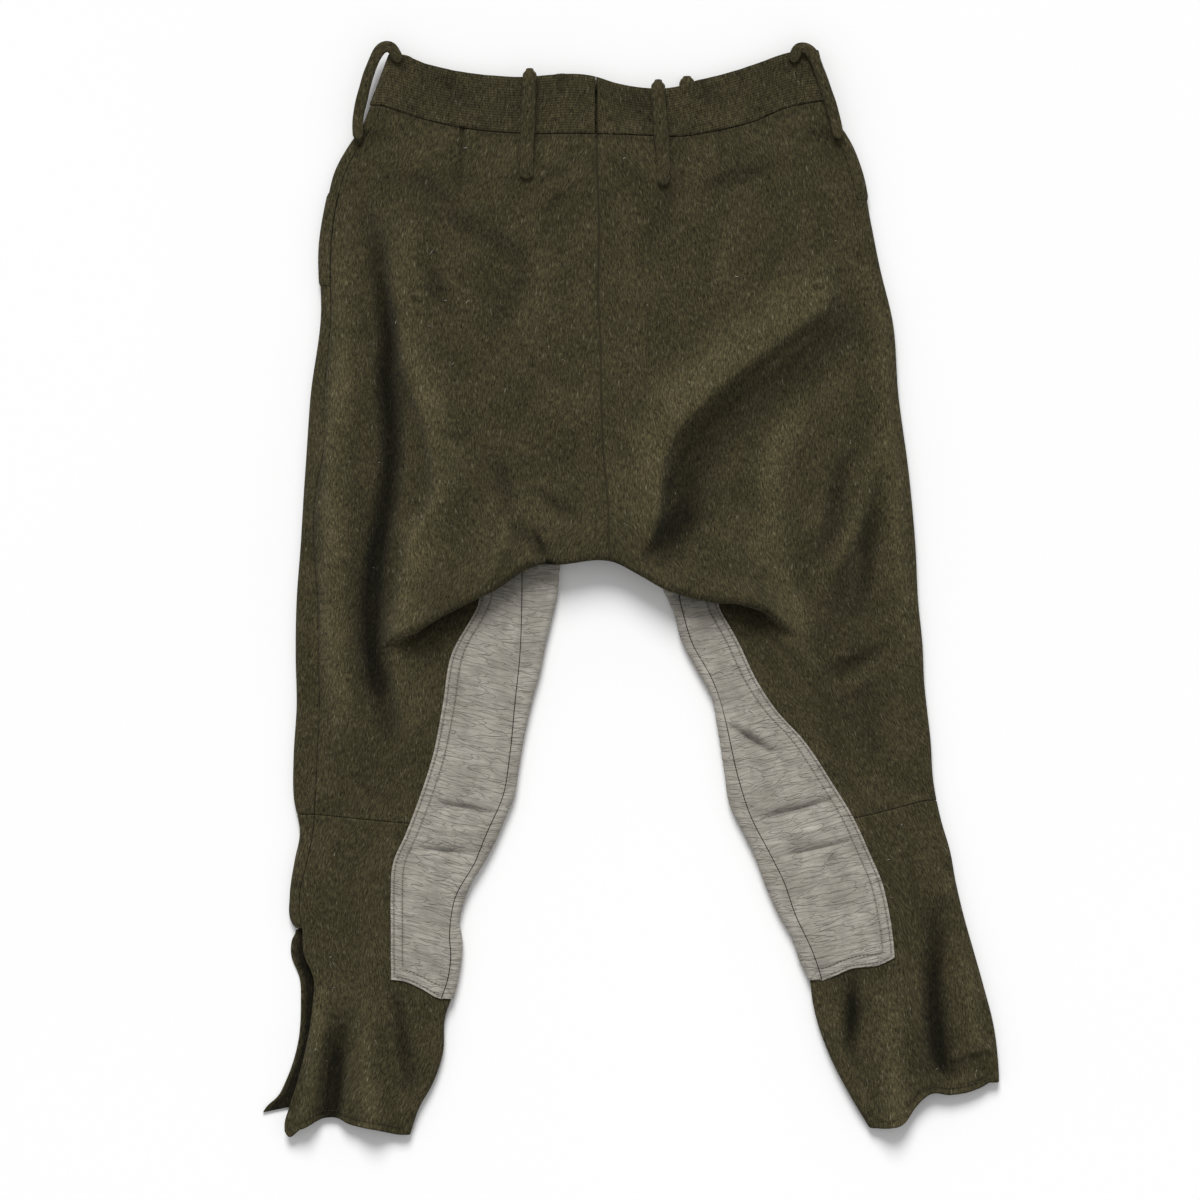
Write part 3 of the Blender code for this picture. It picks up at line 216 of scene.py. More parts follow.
# Small creases that only show close up, in the same form
CREASES = (
    ("left_dart", 4.6, 4.6, ((463.5, 131, -1.6), (461, 172, -1.3), (459, 205, -0.9),
                             (458, 217, 0))),
    ("left_dart_ridge", 4.5, 4.5, ((469, 134, 0.7), (466, 172, 0.7), (463, 210, 0))),
    ("right_dart", 4.6, 4.6, ((718, 132, -1.5), (721, 158, -1.1), (724.5, 184, 0))),
    ("right_dart_ridge", 4.5, 4.5, ((712, 136, 0.7), (715, 158, 0.6), (719, 182, 0))),
    ("crotch_dimple", 6, 5, ((531, 518, 0), (537, 538, -2.6), (545, 555, -1.8),
                             (550, 562, 0))),
    ("crotch_dimple_lip", 5, 6, ((521, 522, 0), (526, 541, 1.6), (530, 560, 0.8))),
    ("hem_left", 2.4, 2.4, ((291, 1123, -0.9), (303, 1121, -0.9), (327, 1110.5, -0.9),
                            (337, 1110.5, -0.9), (350, 1116.5, -0.9), (375, 1121.5, -0.9),
                            (402, 1127.5, -0.9))),
    ("hem_right", 2.4, 2.4, ((864, 1115, -0.9), (876, 1120, -0.9), (889, 1120.5, -0.9),
                             (902, 1115, -0.9), (912, 1100, -0.9), (926, 1088, -0.9),
                             (950, 1087.5, -0.9), (972, 1083.5, -0.9), (987, 1076, -0.9))),
    ("right_turn_up", 3, 5, ((938, 1067, 0), (954, 1061, -1.3), (975, 1056, -1.3),
                             (996, 1049, -0.9))),
    ("band_pucker_1", 6.5, 6.5, ((407, 62, -1.2), (406, 80, -0.9), (405, 98, 0))),
    ("band_pucker_2", 6.5, 6.5, ((426, 66, -1.2), (425, 84, -0.9), (425, 104, 0))),
    ("band_pucker_3", 6.5, 6.5, ((454, 72, -1.4), (453, 92, -1.0), (453, 114, 0))),
    ("band_pucker_4", 6.5, 6.5, ((485, 76, -1.1), (484, 92, -0.9), (484, 108, 0))),
    ("band_pucker_5", 6.5, 6.5, ((561, 79, -1.2), (561, 95, -0.9), (560, 112, 0))),
    ("band_pucker_6", 6.5, 6.5, ((705, 80, -1.2), (706, 98, -1.0), (706, 118, 0))),
    ("band_pucker_7", 6.5, 6.5, ((740, 70, -1.3), (742, 86, -1.0), (743, 102, 0))),
    ("band_pucker_8", 6.5, 6.5, ((765, 62, -1.1), (767, 78, -0.9), (768, 94, 0))),
    ("seat_drag_1", 7, 7, ((530, 190, 0), (556, 178, -0.9), (586, 166, 0))),
    ("seat_drag_2", 7, 7, ((612, 170, 0), (640, 184, -0.8), (664, 206, 0))),
    ("seat_drag_3", 10, 10, ((500, 330, 0), (540, 372, -1.0), (590, 396, 0))),
    ("seat_drag_4", 10, 10, ((612, 300, 0), (650, 322, -0.9), (690, 330, 0))),
    ("seat_drag_5", 9, 9, ((610, 430, 0), (632, 470, -1.2), (644, 520, 0))),
    ("left_strap_seam", 3.6, 3.6, ((534, 566, -1.5), (543, 580, -1.4), (554, 597, -0.8))),
    ("left_knee_line_1", 4, 4, ((430, 803, 0), (462, 806, -1.2), (500, 814, 0))),
    ("left_knee_line_2", 4, 4, ((414, 846, 0), (446, 851, -1.1), (482, 853, 0))),
    ("left_knee_line_3", 4, 4, ((424, 824, 0), (452, 829, 0.7), (488, 833, 0))),
    ("right_knee_line_1", 4.5, 4.5, ((757, 818, 0), (798, 809, -1.7), (840, 797, 0))),
    ("right_knee_line_2", 4, 4, ((770, 857, 0), (815, 849, -1.2), (860, 837, 0))),
    ("right_knee_line_3", 4, 4, ((764, 836, 0), (806, 830, 0.8), (850, 820, 0))),
    ("right_strap_line", 5, 5, ((731, 726, -0.6), (752, 740, -2.4), (778, 756, 0))),
    ("right_strap_ridge", 6, 6, ((736, 718, 0), (758, 733, 1.2), (782, 748, 0))),
    ("right_shin_dimple", 6, 6, ((838, 842, 0), (831, 858, -2.0), (822, 878, 0))),
    ("left_roll_line_1", 6, 6, ((352, 300, 0), (356, 360, -0.8), (354, 420, 0))),
    ("left_roll_line_2", 6, 6, ((330, 470, 0), (337, 520, 0.8), (332, 590, 0))),
    ("right_leg_line_1", 7, 7, ((862, 700, 0), (872, 740, -1.0), (880, 790, 0))),
    ("right_leg_line_2", 7, 7, ((840, 720, 0), (852, 752, 0.8), (862, 800, 0))),
    ("left_leg_line_1", 8, 8, ((352, 770, 0), (372, 792, -1.0), (396, 806, 0))),
    ("left_leg_line_2", 7, 7, ((330, 840, 0), (350, 872, -1.0), (356, 920, 0))),
    ("left_shin_line", 7, 7, ((370, 880, 0), (382, 920, 0.9), (378, 970, 0))),
    ("right_shin_line", 7, 7, ((900, 850, 0), (912, 880, -0.9), (918, 930, 0))),
)

# Painted shade and painted highlight: places drawn darker in valleys, corners and under edges, or
# lighter on the seat, in the same form
SHADES = (
    ("seat_light", 70, 70, ((500, 200, 0), (550, 300, 1.6), (590, 360, 1.6), (640, 330, 1.6),
                            (690, 250, 0))),
    ("centre_line", 4, 4, ((596, 150, -1), (598, 260, -0.6), (600, 400, -0.6), (607, 545, -1))),
    ("left_hollow", 40, 34, ((420, 560, 0), (440, 590, -2.5), (470, 590, 0))),
    ("left_thigh_dark", 24, 36, ((388, 300, -2), (388, 420, -3), (382, 520, -3), (370, 590, -6),
                                 (366, 640, -4), (380, 680, -4), (388, 705, 0))),
    ("right_thigh_dark", 46, 46, ((820, 590, 0), (850, 690, -3), (850, 780, 0))),
    ("left_knee_dark", 40, 40, ((340, 730, 0), (360, 770, -3), (380, 800, 0))),
    ("band_foot_left", 6, 3, ((371, 106, -3), (427, 124, -3.5), (510, 137, -3.5),
                              (596, 138, -3.5))),
    ("band_foot_right", 6, 3, ((596, 138, -3.5), (673, 141, -3.5), (755, 125, -3.5),
                               (815, 106, -3))),
    ("band_dark_1", 14, 14, ((440, 80, -2.5), (455, 95, -3), (470, 110, -2))),
    ("band_dark_2", 16, 16, ((620, 95, -3), (640, 105, -4), (655, 112, -2))),
    ("band_dark_3", 14, 14, ((700, 95, -2.5), (725, 100, -2.5), (745, 90, -2))),
    ("left_side_dark", 9, 9, ((326, 330, 0), (324, 460, -3), (318, 560, -3), (319, 700, 0))),
    ("crotch_dark", 24, 24, ((640, 560, 0), (660, 536, -6), (690, 515, -4), (720, 500, 0))),
    ("right_hip_dark", 46, 12, ((830, 320, -1), (790, 372, -1.5), (735, 418, -2.5),
                                (695, 470, -3), (680, 530, -3), (690, 575, 0))),
    ("right_outer_dark", 26, 26, ((862, 480, 0), (850, 560, -3), (830, 620, -3), (800, 640, 0))),
    ("left_calf_dark", 16, 16, ((350, 990, 0), (338, 1040, -5), (332, 1110, -6))),
    ("left_calf_dark_2", 14, 14, ((390, 960, 0), (402, 1020, -3), (410, 1080, -3))),
    ("right_calf_dark", 22, 22, ((930, 880, -2), (934, 940, -4), (936, 1000, -6), (940, 1060, -6),
                                 (962, 1066, 0))),
    ("strap_corner", 7, 7, ((549, 563, -14), (558, 572, -11))),
    ("right_calf_dark_2", 14, 14, ((846, 975, -3), (852, 1010, -6), (850, 1050, -5),
                                   (858, 1090, 0))),
)

# Belt loops as ribbons. Points: x, y, and the height over the cloth below, in millimetres
LOOP_STAND = 6.2
BACK_LOOPS = {
    "belt_loop_back_left": (
        (530, 97, 1.6), (530, 84, 2.2), (530, 75, 5.0), (530, 73, LOOP_STAND),
        (530, 80, LOOP_STAND + 2), (529, 100, LOOP_STAND + 1.6), (528, 130, LOOP_STAND + 0.8),
        (527, 155, 4.6), (527, 170, 2.2), (527, 181, 1.6)),
    "belt_loop_back_right": (
        (658, 108, 1.6), (658, 96, 2.2), (658, 87, 5.0), (658, 84, LOOP_STAND),
        (658, 92, LOOP_STAND + 2), (659, 110, LOOP_STAND + 1.6), (661, 136, LOOP_STAND + 0.8),
        (663, 160, 4.6), (663, 176, 2.2), (663, 187, 1.6)),
}
# Side and front loops. Points: x, y, and the height over the floor
SIDE_LOOPS = {
    "belt_loop_side_left": (
        (400, 64, 14.4), (392, 50, 16.0), (381, 52, 15.4), (371, 72, 14.6), (364, 96, 14.6),
        (359, 120, 14.8), (359, 141, 14.6)),
    "belt_loop_side_right": (
        (792, 64, 14.4), (798, 51, 16.0), (810, 54, 15.4), (819, 74, 14.6), (827, 97, 14.6),
        (834, 120, 14.8), (838, 140, 14.6)),
}
FRONT_LOOPS = {
    "belt_loop_front_left": (
        (494, 164, 1.28), (494, 142, 1.28), (494, 112, 1.28), (494, 87, 1.28), (494, 76, 1.3),
        (494, 70, 2.6), (494, 69.5, 5.6)),
    "belt_loop_front_right": (
        (687, 172, 1.28), (687, 150, 1.28), (687, 120, 1.28), (687, 95, 1.28), (687, 84, 1.3),
        (687, 78.5, 3.0), (687, 78.5, 5.8), (687, 84, 6.9), (687, 92, 7.0)),
}


class Side(Enum):
    """The two halves, as the back is seen. The value is the way to the outer edge along x."""

    LEFT = -1
    RIGHT = 1

    @property
    def word(self) -> str:
        """Name of the half as the pieces use it."""
        return self.name.lower()


class Place(Enum):
    """Where on the garment a face of the shell lies."""

    TOP = 0
    STRAP = 1
    SIDE = 2
    WELT = 3
    INNER = 4
    UNDER = 5


def mm_x(x: Array) -> Array:
    """Millimetres across from the middle for a photo x."""
    return (np.asarray(x, float) - VIEW_MIDDLE[0]) * MM_PER_PIXEL


def mm_y(y: Array) -> Array:
    """Millimetres up from the middle for a photo y."""
    return (VIEW_MIDDLE[1] - np.asarray(y, float)) * MM_PER_PIXEL


def photo_x(x: Array) -> Array:
    """Photo x of millimetres across from the middle."""
    return VIEW_MIDDLE[0] + np.asarray(x, float) / MM_PER_PIXEL


def photo_y(y: Array) -> Array:
    """Photo y of millimetres up from the middle."""
    return VIEW_MIDDLE[1] - np.asarray(y, float) / MM_PER_PIXEL


def ease(t: Array) -> Array:
    """Ease from 0 to 1."""
    t = np.clip(t, 0.0, 1.0)
    return t * t * (3.0 - 2.0 * t)


def ramp(value: Array, span: Pair) -> Array:
    """Ease from 0 to 1, from the span's start over its length."""
    return ease((value - span[0]) / span[1])


def curve_at(points: Array, place: Array) -> Array:
    """Points of a smooth curve through a line's own points.

    Args:
        points: The line's points, one a row.
        place: Where along the line, counted in points from the first.

    Returns:
        One point for each place.
    """
    points = np.asarray(points, float)
    last = len(points) - 1
    place = np.atleast_1d(np.asarray(place, float))
    k = np.clip(place.astype(int), 0, last - 1)
    s = (place - k)[:, None]
    p0, p1 = points[np.maximum(k - 1, 0)], points[k]
    p2, p3 = points[k + 1], points[np.minimum(k + 2, last)]
    return 0.5 * (2 * p1 + (p2 - p0) * s + (2 * p0 - 5 * p1 + 4 * p2 - p3) * s ** 2
                  + (3 * p1 - p0 - 3 * p2 + p3) * s ** 3)


def eased_path(points: Rows, steps: int) -> Array:
    """A smooth curve through a line's points, with that many steps between two of them."""
    last = len(points) - 1
    return curve_at(np.array(points, float), np.arange(last * steps + 1) / steps)


class Table:
    """A short table read as smooth curves through its rows."""

    def __init__(self, rows: Rows) -> None:
        """Keep the rows and each column's slope at them."""
        self.values = np.array(rows, float)
        self.keys = self.values[:, 0]
        self.slopes = np.gradient(self.values, self.keys, axis=0)

    def at(self, place: Array, column: int = 1) -> Array:
        """Value of a column.

        Args:
            place: Places in the first column.
            column: Which column to read.

        Returns:
            A value for each place, held at the ends.
        """
        place = np.asarray(place, float)
        k = np.clip(np.searchsorted(self.keys, place, side="right") - 1, 0, len(self.keys) - 2)
        step = self.keys[k + 1] - self.keys[k]
        t = np.clip((place - self.keys[k]) / step, 0.0, 1.0)
        a, b = self.values[k, column], self.values[k + 1, column]
        rise_a, rise_b = self.slopes[k, column] * step, self.slopes[k + 1, column] * step
        return a + t * t * (3 - 2 * t) * (b - a) + t * (1 - t) * ((1 - t) * rise_a - t * rise_b)


@dataclass(frozen=True)
class Ripple:
    """Soft unevenness of cloth, as a sum of crossing waves."""

    seed: int
    shortest: float
    longest: float
    height: float
    waves: int = 14

    def at(self, x: Array, y: Array) -> Array:
        """Height of the unevenness.

        Args:
            x: Millimetres across.
            y: Millimetres along.

        Returns:
            Heights, about the size of height.
        """
        draw = np.random.default_rng(self.seed)
        total = np.zeros(np.broadcast(x, y).shape)
        for _wave in range(self.waves):
            length = draw.uniform(self.shortest, self.longest)
            turn, start = draw.uniform(0, math.pi), draw.uniform(0, 2 * math.pi)
            size = draw.uniform(0.5, 1.0) * length / self.longest
            total += size * np.sin(2 * math.pi / length
                                   * (x * math.cos(turn) + y * math.sin(turn)) + start)
        return total * self.height / math.sqrt(self.waves / 2)


class Relief:
    """Folds and creases laid over the cloth."""

    def __init__(self, folds: Sequence[tuple], uneven: Ripple, size: float = 1.0) -> None:
        """Keep each fold's smooth line."""
        self.size = size
        self.folds = [(wide_left, wide_right, eased_path(points, 4))
                      for _name, wide_left, wide_right, points in folds]
        self.uneven = uneven

    def at(self, x: Array, y: Array) -> Array:
        """Sum of the folds.

        Args:
            x: Photo x of each point.
            y: Photo y of each point.

        Returns:
            Heights in millimetres.
        """
        total = np.zeros(x.shape)
        for wide_left, wide_right, path in self.folds:
            reach = max(wide_left, wide_right) / MM_PER_PIXEL
            near = ((x > path[:, 0].min() - reach) & (x < path[:, 0].max() + reach)
                    & (y > path[:, 1].min() - reach) & (y < path[:, 1].max() + reach))
            if near.any():
                total[near] += self._one(x[near], y[near], wide_left, wide_right, path)
        return total * self.size * (1.0 + self.uneven.at(mm_x(x), mm_y(y)))

    @staticmethod
    def _one(x: Array, y: Array, wide_left: float, wide_right: float, path: Array) -> Array:
        """Height of one fold at photo points near it."""
        best = np.full(x.shape, 1e9)
        value = np.zeros(x.shape)
        for start, end in zip(path[:-1], path[1:]):
            step_x, step_y = (end[:2] - start[:2]) * MM_PER_PIXEL
            off_x, off_y = (x - start[0]) * MM_PER_PIXEL, (y - start[1]) * MM_PER_PIXEL
            t = np.clip((off_x * step_x + off_y * step_y) / (step_x ** 2 + step_y ** 2), 0, 1)
            dx, dy = off_x - t * step_x, off_y - t * step_y
            far = np.sqrt(dx * dx + dy * dy)
            width = np.where(step_x * dy - step_y * dx > 0, wide_right, wide_left)
            bell = np.where(far < width, 0.5 + 0.5 * np.cos(math.pi * far / width), 0.0)
            value = np.where(far < best, (start[2] + (end[2] - start[2]) * t) * bell, value)
            best = np.minimum(best, far)
        return value


@dataclass
class HalfCloth:
    """One half of the laid garment as a fine shell.

    rows and columns count in the cut's own rows and columns, and may lie between them.
    """

    side: Side
    rows: Array
    columns: Array
    ring: Array
    edge_height: float = 9.0      # height of the cloth just inside an edge fold
    seat_height: float = 17.0
    leg_height: float = 12.5
    band_height: float = 11.5
    lowest_top: float = 6.6       # the top layer never comes lower than this
    edge_soft: float = 34.0       # distance over which the height builds up from an edge
    fold_reach: float = 5.0
    strap_lift: float = 1.5       # the underside lies on its strapping
    front_strap: float = 58.0     # pixels from the inner edge to the front strapping's edge
    strap_ramp: float = 12.0      # pixels over which the underside comes down beside it
    waist_lift: float = 2.7
    front_fall: float = 2.5       # the front's waist stays this far below the centre back
    front_low: float = 3.0        # and this far below the back's waist elsewhere
    crotch_run: float = 16.0      # length of the front between the crotch seam and the thigh
    hem_rise: float = 9.0         # the underside's hem stays this far up between its edges
    pouch_radius: float = 3.8     # roll of the pouch's fold over a leg
    bridge_radius: float = 5.2    # and between the legs
    pouch_depth: float = 10.0     # how far the pouch is tucked in under itself
    tuck_radius: float = 1.4
    bridge_drop: float = 8.0      # the pouch's fold hangs this much less between the legs
    pouch_reach: float = 85.0     # distance over which the pouch's height fades out
    # Photo y at which each begins or ends, and over how many pixels
    seat_begins: Pair = (110.0, 70.0)
    folds_begin: Pair = (138.0, 50.0)
    flat_band_ends: Pair = (140.0, 12.0)
    waist_settles: Pair = (185.0, 37.0)
    fold_margin: Pair = (-6.0, 14.0)   # the same in millimetres from an edge fold
    rough_margin: Pair = (1.0, 9.0)
    rough_begins: Pair = (128.0, 14.0)
    shade_turn: Pair = (20.0, 90.0)   # degrees of the pouch's turn over which its painted shadow on what lies under it builds up
    calm_turn: float = 70.0       # degrees of turn at which the pouch stops easing into the leg
    top_soft: float = 1.2         # how sharply the top settles on its lowest height
    under_rows: float = 1.6       # rows of the cut over which the painted shadow under the pouch fades
    pouch_shadow: float = 9.0      # how dark the painted shadow on the thigh just under the pouch is
    crease_shade: float = 1.6     # how much more a small crease's painted shade darkens than a main fold's

    def __post_init__(self) -> None:
        """Read the tables of this half and work the shell out."""
        left = self.side is Side.LEFT
        self.lines = Table(LEFT_LINES if left else RIGHT_LINES)
        self.inner = Table(LEFT_INNER if left else RIGHT_INNER)
        self.out = self.side.value
        self.top = self._top()
        self.normals = grid_normals(self.top) * self.out * -1.0
        self.outer_ring = self._outer_ring()
        self.inner_ring = self._inner_ring()
        self.under = self._under()

    def row(self, place: float) -> int:
        """Index of the row at a place of the cut."""
        return int(np.argmin(np.abs(self.rows - place)))

    def column(self, place: float) -> int:
        """Index of the column at a place of the cut."""
        return int(np.argmin(np.abs(self.columns - place)))

    def line(self, name: str, y: Array) -> Array:
        """Photo x of a named line at a photo y."""
        if name == "inner":
            return self.inner.at(y)
        if name == "centre":
            return CENTRE_TABLE.at(y)
        return self.lines.at(y, {"outer": 1, "seam": 2, "strap": 3, "inseam": 4}[name])

    def column_x(self, u: Array, y: Array) -> Array:
        """Photo x of a column.

        Args:
            u: Columns, from the side seam at 0 to the centre.
            y: Photo y at which to read them.

        Returns:
            Photo x for each pair.
        """
        seam, strap, inseam, centre = (self.line(name, y)
                                       for name in ("seam", "strap", "inseam", "centre"))
        wool = seam + (strap - seam) * u / STRAP_COLUMN
        patch = strap + (inseam - strap) * (u - STRAP_COLUMN) / (INSEAM_COLUMN - STRAP_COLUMN)
        bridge = inseam + (centre - inseam) * (u - INSEAM_COLUMN) / (CENTRE_COLUMN - INSEAM_COLUMN)
        return np.where(u <= STRAP_COLUMN, wool, np.where(u <= INSEAM_COLUMN, patch, bridge))

    def cross(self, u: Array, above: Table, share: Array, below: Table) -> Tuple[Array, Array]:
        """Photo points where columns meet rows that lie between two guides."""
        y = np.full(np.broadcast(u, share).shape, float(above.at(500) + below.at(500)) / 2)
        x = y
        for _step in range(SEARCH_STEPS):
            x = self.column_x(u, y)
            y = (1.0 - share) * above.at(x) + share * below.at(x)
        return x, y

    def height(self, x: Array, y: Array, leg: Array, share: Optional[Array] = None) -> Array:
        """Height of the top layer without the pouch.

        Args:
            x: Photo x of each point.
            y: Photo y of each point.
            leg: Whether it is on a leg.
            share: How far the seat's height has given way to the leg's, all or none if left out.

        Returns:
            Heights in millimetres.
        """
        x, y = np.broadcast_arrays(np.asarray(x, float), np.asarray(y, float))
        edge = np.abs(x - self.line("outer", y))
        edge = np.where(leg, np.minimum(edge, np.abs(x - self.line("inner", y))), edge)
        edge = edge * MM_PER_PIXEL - self.fold_reach
        waist = ramp(y, self.seat_begins)
        flat = self.band_height + (self.seat_height - self.band_height) * waist
        share = np.asarray(leg, float) if share is None else share
        flat = flat + (self.leg_height - flat) * share
        rise = 1.0 - np.exp(-(np.maximum(edge, 0.0) / self.edge_soft) ** 2)
        keep = ease((self.flat_band_ends[0] - y) / self.flat_band_ends[1])
        base = self.edge_height + (flat - self.edge_height) * (keep + (1.0 - keep) * rise)
        fade = ramp(edge, self.fold_margin) * ramp(y, self.folds_begin)
        over = base + MAIN_RELIEF.at(x, y) * fade - self.lowest_top
        return self.lowest_top + np.logaddexp(0.0, over * self.top_soft) / self.top_soft

    def detail(self, x: Array, y: Array) -> Array:
        """Height of the small creases and the cloth's own unevenness."""
        edge = np.abs(x - self.line("outer", y)) * MM_PER_PIXEL
        calm = ramp(edge, self.rough_margin)
        band = ramp(y, self.rough_begins)
        x_mm, y_mm = mm_x(x), mm_y(y)
        rough = BROAD_RIPPLE.at(x_mm, y_mm) * (0.6 + 0.4 * band) + FINE_RIPPLE.at(x_mm, y_mm)
        return CREASE_RELIEF.at(x, y) + rough * calm

    def shade(self) -> Array:
        """How far each point of the top lies in a fold or on a ridge, in millimetres, as painted
        shade and highlight.
        """
        x, y = photo_x(self.top[:, :, 0]), photo_y(self.top[:, :, 1])
        total = (MAIN_RELIEF.at(x, y) + self.crease_shade * CREASE_RELIEF.at(x, y)
                 + SHADE_RELIEF.at(x, y))
        v = self.rows[:, None]
        # painted shadow on the thigh under the pouch's fold
        under = np.exp(-((v - THIGH_ROW) / self.under_rows) ** 2) * (v >= CROTCH_ROW - 2)
        turned = ramp(self._pouch_turn(x), self.shade_turn)
        return total - self.pouch_shadow * under * turned

    @staticmethod
    def _pouch_turn(x: Array) -> Array:
        """Degrees through which the pouch folds over at a photo x."""
        return np.clip(TURN_TABLE.at(x), 0.0, FULL_TURN)

    def _pouch(self, x: Array) -> Array:
        """The pouch's fold in each column: offsets (up, height) for its eight points."""
        turn = np.radians(self._pouch_turn(x))
        swell = np.clip(SWELL_TABLE.at(x), 0.0, 1.0)
        radius = self.pouch_radius + (self.bridge_radius - self.pouch_radius) * swell
        depth = self.pouch_depth * np.maximum(0.0, -np.cos(turn)) * np.sin(turn / 2.0) ** 2
        steps = [(1.0 + radius * turn / 4.0, turn / 4.0)] * 4
        steps += [(1.0 + depth, 0.0 * turn)]
        steps += [(1.0 + self.tuck_radius * turn / 2.0, -turn / 2.0)] * 2
        points = [np.zeros((len(x), 2))]
        angle = np.zeros(len(x))
        for length, bend in steps:
            middle = angle + bend / 2.0
            step = np.stack((-np.cos(middle) * length, -np.sin(middle) * length), axis=1)
            points.append(points[-1] + step)
            angle = angle + bend
        return np.array(points)

    def _top(self) -> Array:
        """Top layer as points in millimetres, one for each row and column."""
        v, u = self.rows[:, None], self.columns[None, :]
        edge_x = self.column_x(u, np.full(u.shape, 600.0))
        edge_y = np.full(u.shape, 600.0)
        for _step in range(SEARCH_STEPS):
            edge_y = POUCH_TABLE.at(edge_x)
            edge_x = self.column_x(u, edge_y)
        pouch = self._pouch(edge_x[0])
        start = mm_y(edge_y) - pouch[:, :, 0].min(axis=0)[None, :]
        first = photo_y(start)
        last = photo_y(start + pouch[-1, :, 0][None, :])
        swell = np.clip(SWELL_TABLE.at(edge_x), 0.0, 1.0)
        fall = -pouch[-1, :, 1][None, :]
        drop = fall - self.bridge_drop * swell
        calm = 0.5 * (1.0 - ease(self._pouch_turn(edge_x) / self.calm_turn))
        high = self.height(edge_x, first, False, calm) + drop
        bridge = ease(u - INSEAM_COLUMN)
        low = self.height(edge_x, last, True, 1.0 - calm)
        low = (1 - bridge) * low + bridge * (high - drop)

        grid = np.zeros((len(self.rows), len(self.columns), 3))
        rows = self.rows
        for chosen, above, below, begin, end in (
                (rows < WAIST_ROW, BAND_TABLE, WAIST_TABLE, 0, WAIST_ROW),
                ((rows >= KNEE_ROW) & (rows < STRAP_END_ROW), KNEE_TABLE, END_TABLE, KNEE_ROW,
                 STRAP_END_ROW),
                (rows >= STRAP_END_ROW, END_TABLE, HEM_TABLE, STRAP_END_ROW, HEM_ROW)):
            if chosen.any():
                share = (v[chosen] - begin) / (end - begin)
                x, y = self.cross(u, above, share, below)
                z = self.height(x, y, begin > 0) + self.detail(x, y)
                grid[chosen] = np.stack((mm_x(x), mm_y(y), z), axis=2)

        chosen = (rows >= WAIST_ROW) & (rows < POUCH_ROW)
        if chosen.any():
            share = (v[chosen] - WAIST_ROW) / (POUCH_ROW - WAIST_ROW)
            x, y = edge_x + 0.0 * share, first + 0.0 * share
            late = ramp(share, (0.8, 0.2))
            for _step in range(SEARCH_STEPS):
                x = self.column_x(u, y + (edge_y - first) * late)
                y = (1.0 - share) * WAIST_TABLE.at(x) + share * first
            up = (first - y) * MM_PER_PIXEL
            late = 1.0 - ease(up / self.pouch_reach)
            z = self.height(x, y, False, calm * late) + drop * late
            grid[chosen] = np.stack((mm_x(x), mm_y(y), z + self.detail(x, y)), axis=2)

        chosen = (rows >= POUCH_ROW) & (rows < THIGH_ROW)
        if chosen.any():
            place = rows[chosen] - POUCH_ROW
            turns = THIGH_ROW - POUCH_ROW
            path = np.stack([curve_at(pouch[:, c], place) for c in range(len(self.columns))], 1)
            share = (place / turns)[:, None]
            z = high + path[:, :, 1] + (low - high + fall) * share
            x = edge_x + 0.0 * share
            y = start + path[:, :, 0]
            fade = 1.0 - ease(place / 2.5)[:, None] * ease((7.0 - place) / 0.8)[:, None]
            z = z + self.detail(x, photo_y(y)) * fade
            grid[chosen] = np.stack((mm_x(x), y, z), axis=2)

        chosen = (rows >= THIGH_ROW) & (rows < KNEE_ROW)
        if chosen.any():
            share = (v[chosen] - THIGH_ROW) / (KNEE_ROW - THIGH_ROW)
            x, y = edge_x + 0.0 * share, last + 0.0 * share
            for _step in range(SEARCH_STEPS):
                x = self.column_x(u, y)
                y = (1.0 - share) * last + share * KNEE_TABLE.at(x)
            late = 1.0 - ease((y - last) * MM_PER_PIXEL / self.pouch_reach)
            z = self.height(x, y, True, 1.0 - calm * late) + self.detail(x, y)
            slide = ease(share * (KNEE_ROW - THIGH_ROW) / 2.0)
            x = edge_x * (1.0 - slide) + x * slide
            grid[chosen] = np.stack((mm_x(x), mm_y(y), z), axis=2)
        return grid

    def _lift(self, v: Array) -> Array:
        """Share of the strapping's thickness under each row."""
        return np.clip(np.minimum(v - (THIGH_ROW - 1), STRAP_END_ROW + 1 - v), 0.0, 1.0)

    def _floor(self, v: Array, y: Array) -> Array:
        """Height of the underside where the waist lies on its loops."""
        lift = self.waist_lift * (1.0 - ramp(y, self.waist_settles))
        return np.where(v <= CROTCH_ROW, lift, 0.0)

    def _reach(self, start: Array, edge: Array) -> Array:
        """How far in from its edge a fold starts to turn, less where the seam lies close by."""
        return np.minimum(self.fold_reach, 0.62 * np.abs(start[:, 0] - edge))

    def _edge(self, start: Array, edge: Array, way: int, high: Array, low: Array) -> Array:
        """Points round an edge fold.

        Args:
            start: The seam's points, one a row.
            edge: Millimetres across at which the fold turns.
            way: Which way along x the fold faces.
            high: Height of the fold's top.
            low: Height of its underside.

        Returns:
            Points for each row and step of the ring.
        """
        s = self.ring[None, :]
        reach = self._reach(start, edge)[:, None]
        angle = np.radians(90.0 - 45.0 * (np.maximum(s, 1.0) - 1.0))
        x = edge[:, None] - way * reach * (1.0 - np.cos(angle))
        z = low[:, None] + (high - low)[:, None] * (0.5 + 0.5 * np.sin(angle))
        y = np.broadcast_to(start[:, 1:2], x.shape)
        turned = np.stack((x, y, z), axis=2)
        lead = np.clip(s, 0.0, 1.0)[:, :, None]
        return start[:, None, :] * (1.0 - lead) + turned * lead

